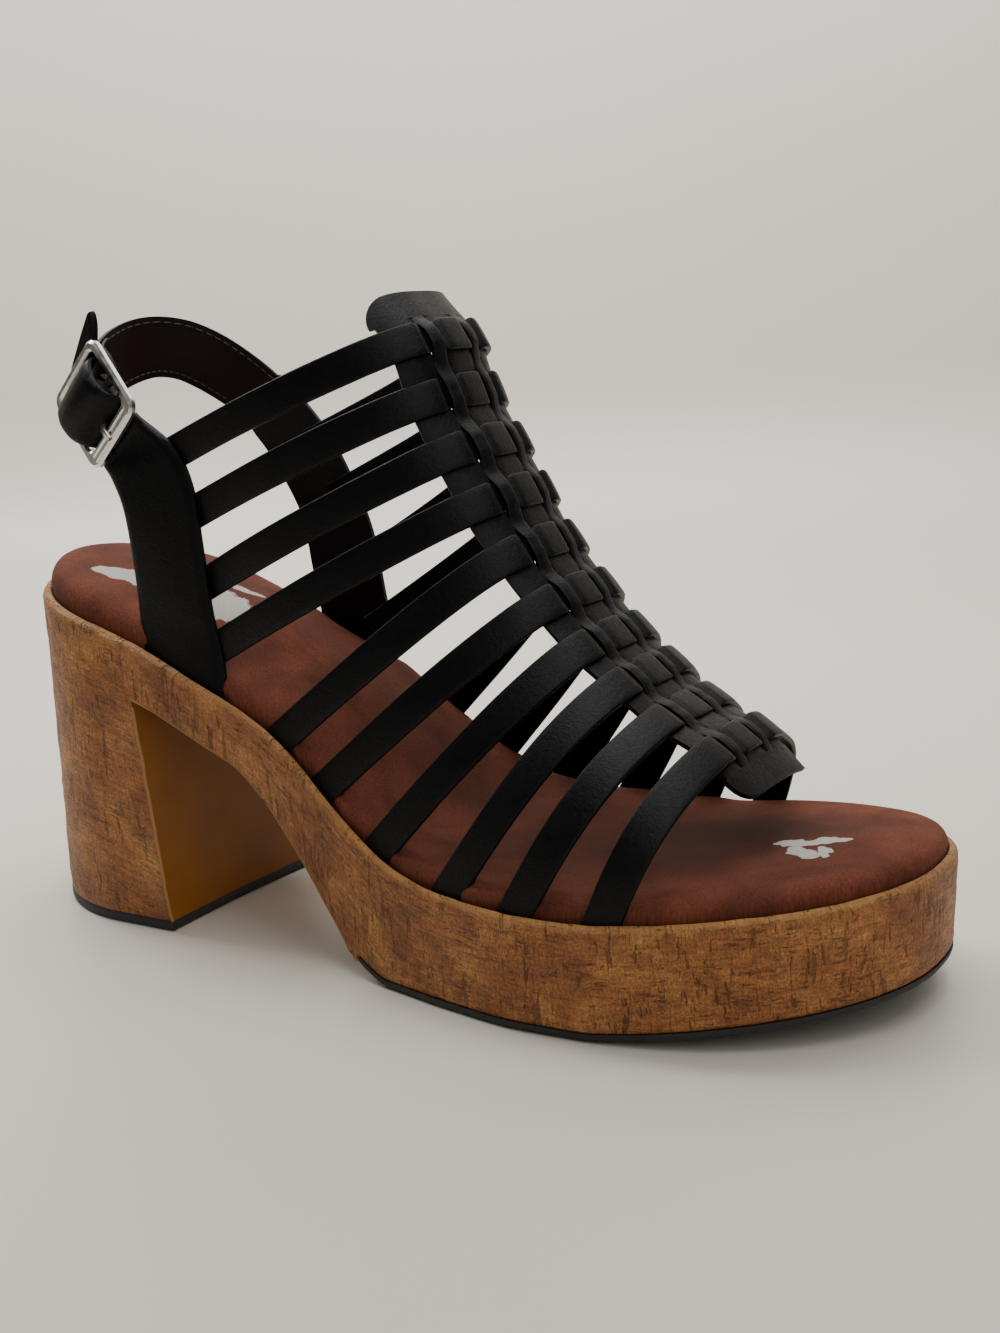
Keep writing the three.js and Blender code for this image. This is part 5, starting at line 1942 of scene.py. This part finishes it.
for low, high in zip(buckle_rings, buckle_rings[1:] + buckle_rings[:1]):
    at = [(i * 1.0, 0.0) for i in range(len(low) + 1)]
    buckle.strip(low, high, at, at)


def add_rod(skin, start, end, radius, sides=14):
    """Straight round rod between two points."""
    way = (end - start).normalized()
    side_way = way.orthogonal().normalized()
    up_way = way.cross(side_way)
    rings = []
    for t, r in ((0, 0.8), (0.02, 1), (0.98, 1), (1, 0.8)):
        middle = start.lerp(end, t)
        angles = [2 * math.pi * i / sides for i in range(sides)]
        ring = [middle + (side_way * math.cos(a) + up_way * math.sin(a)) * r * radius for a in angles]
        rings.append(skin.add_points(ring))
    for low, high in zip(rings, rings[1:]):
        skin.strip(low, high, [(0, 0)] * (sides + 1), [(1, 1)] * (sides + 1))
    skin.add_face(list(reversed(rings[0])), [(0, 0)] * sides)
    skin.add_face(rings[-1], [(0, 0)] * sides)


add_rod(buckle, in_buckle(-frame_width / 2 + 1, 0, 0), in_buckle(frame_width / 2 - 1, 0, 0), hinge_radius)
# Two ridges of the rest bar, with a groove between
ridge_half = frame_width / 2 - 3.2
ridge_radius = 0.62
ridge_face = half_height - 0.25
for ridge in (-frame_half + 1.25, -frame_half + 2.95):
    add_rod(buckle, in_buckle(-ridge_half, ridge, ridge_face), in_buckle(ridge_half, ridge, ridge_face), ridge_radius)

# Chrome plate on zinc: bright and neutral, with wear in patches of 2 mm that blurs it
wear_size = 2
chrome_plate = new_material("chrome_plated_zinc")
chrome_at = add_node(chrome_plate, "ShaderNodeTexCoord", {})
chrome_wear = add_node(
    chrome_plate,
    "ShaderNodeTexNoise",
    {"Vector": chrome_at.outputs["Object"], "Scale": 1000 / wear_size, "Detail": 5.0},
)
chrome_rough = add_node(
    chrome_plate,
    "ShaderNodeMapRange",
    {"Value": chrome_wear.outputs["Fac"], "From Min": 0.3, "From Max": 0.7, "To Min": 0.24, "To Max": 0.36},
)
chrome_bump = add_node(
    chrome_plate, "ShaderNodeBump", {"Height": chrome_wear.outputs["Fac"], "Strength": 0.02, "Distance": 0.0001}
)
chrome_shader = add_node(
    chrome_plate,
    "ShaderNodeBsdfPrincipled",
    {
        "Base Color": linear("#dddbd7"),
        "Metallic": 1.0,
        "Roughness": chrome_rough.outputs[0],
        "Normal": chrome_bump.outputs[0],
    },
)
finish_material(chrome_plate, chrome_shader)
buckle_piece = buckle.piece("chrome_buckle_frame", "buckle_frame", chrome_plate, 30)

prong_width = 1.8
prong_thickness = 1.3
eye_inside, eye_outside = 1.3, 2.3
prong = Skin()
prong_path = [
    (1.5, 0.8), (3.2, 0.5), (4.8, 0.35), (6.2, 0.75), (7.2, 1.5), (8.2, 2.0), (9.2, 2.1), (10.4, 2.05), (11.4, 1.95),
]
prong_rows = []
for strap, face in prong_path:
    narrow = 0.75 if strap > 11 else 1.0
    prong_rows.append((
        in_buckle(0, -strap, face - prong_thickness / 2),
        bar_way,
        face_way,
        strip_section(prong_width * narrow, prong_thickness * narrow, 0.55),
        strap,
    ))
add_strip(prong, prong_rows)
eye_rings = []
for i in range(17):
    angle = 2 * math.pi * i / 16
    ring = []
    for half, radius in ((-0.5, eye_inside), (-0.5, eye_outside), (0.5, eye_outside), (0.5, eye_inside)):
        ring.append(in_buckle(half * prong_width, radius * math.cos(angle), radius * math.sin(angle)))
    eye_rings.append(ring)
eye_ids = [prong.add_points(ring) for ring in eye_rings[:-1]]
for low, high in zip(eye_ids, eye_ids[1:] + eye_ids[:1]):
    prong.strip(low, high, [(0, 0)] * 5, [(1, 1)] * 5)
prong_piece = prong.piece("chrome_buckle_prong", "buckle_prong", chrome_plate, 40)

low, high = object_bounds()
{"cad": [list(cad_low), list(cad_high)], "visual": [list(low), list(high)]}
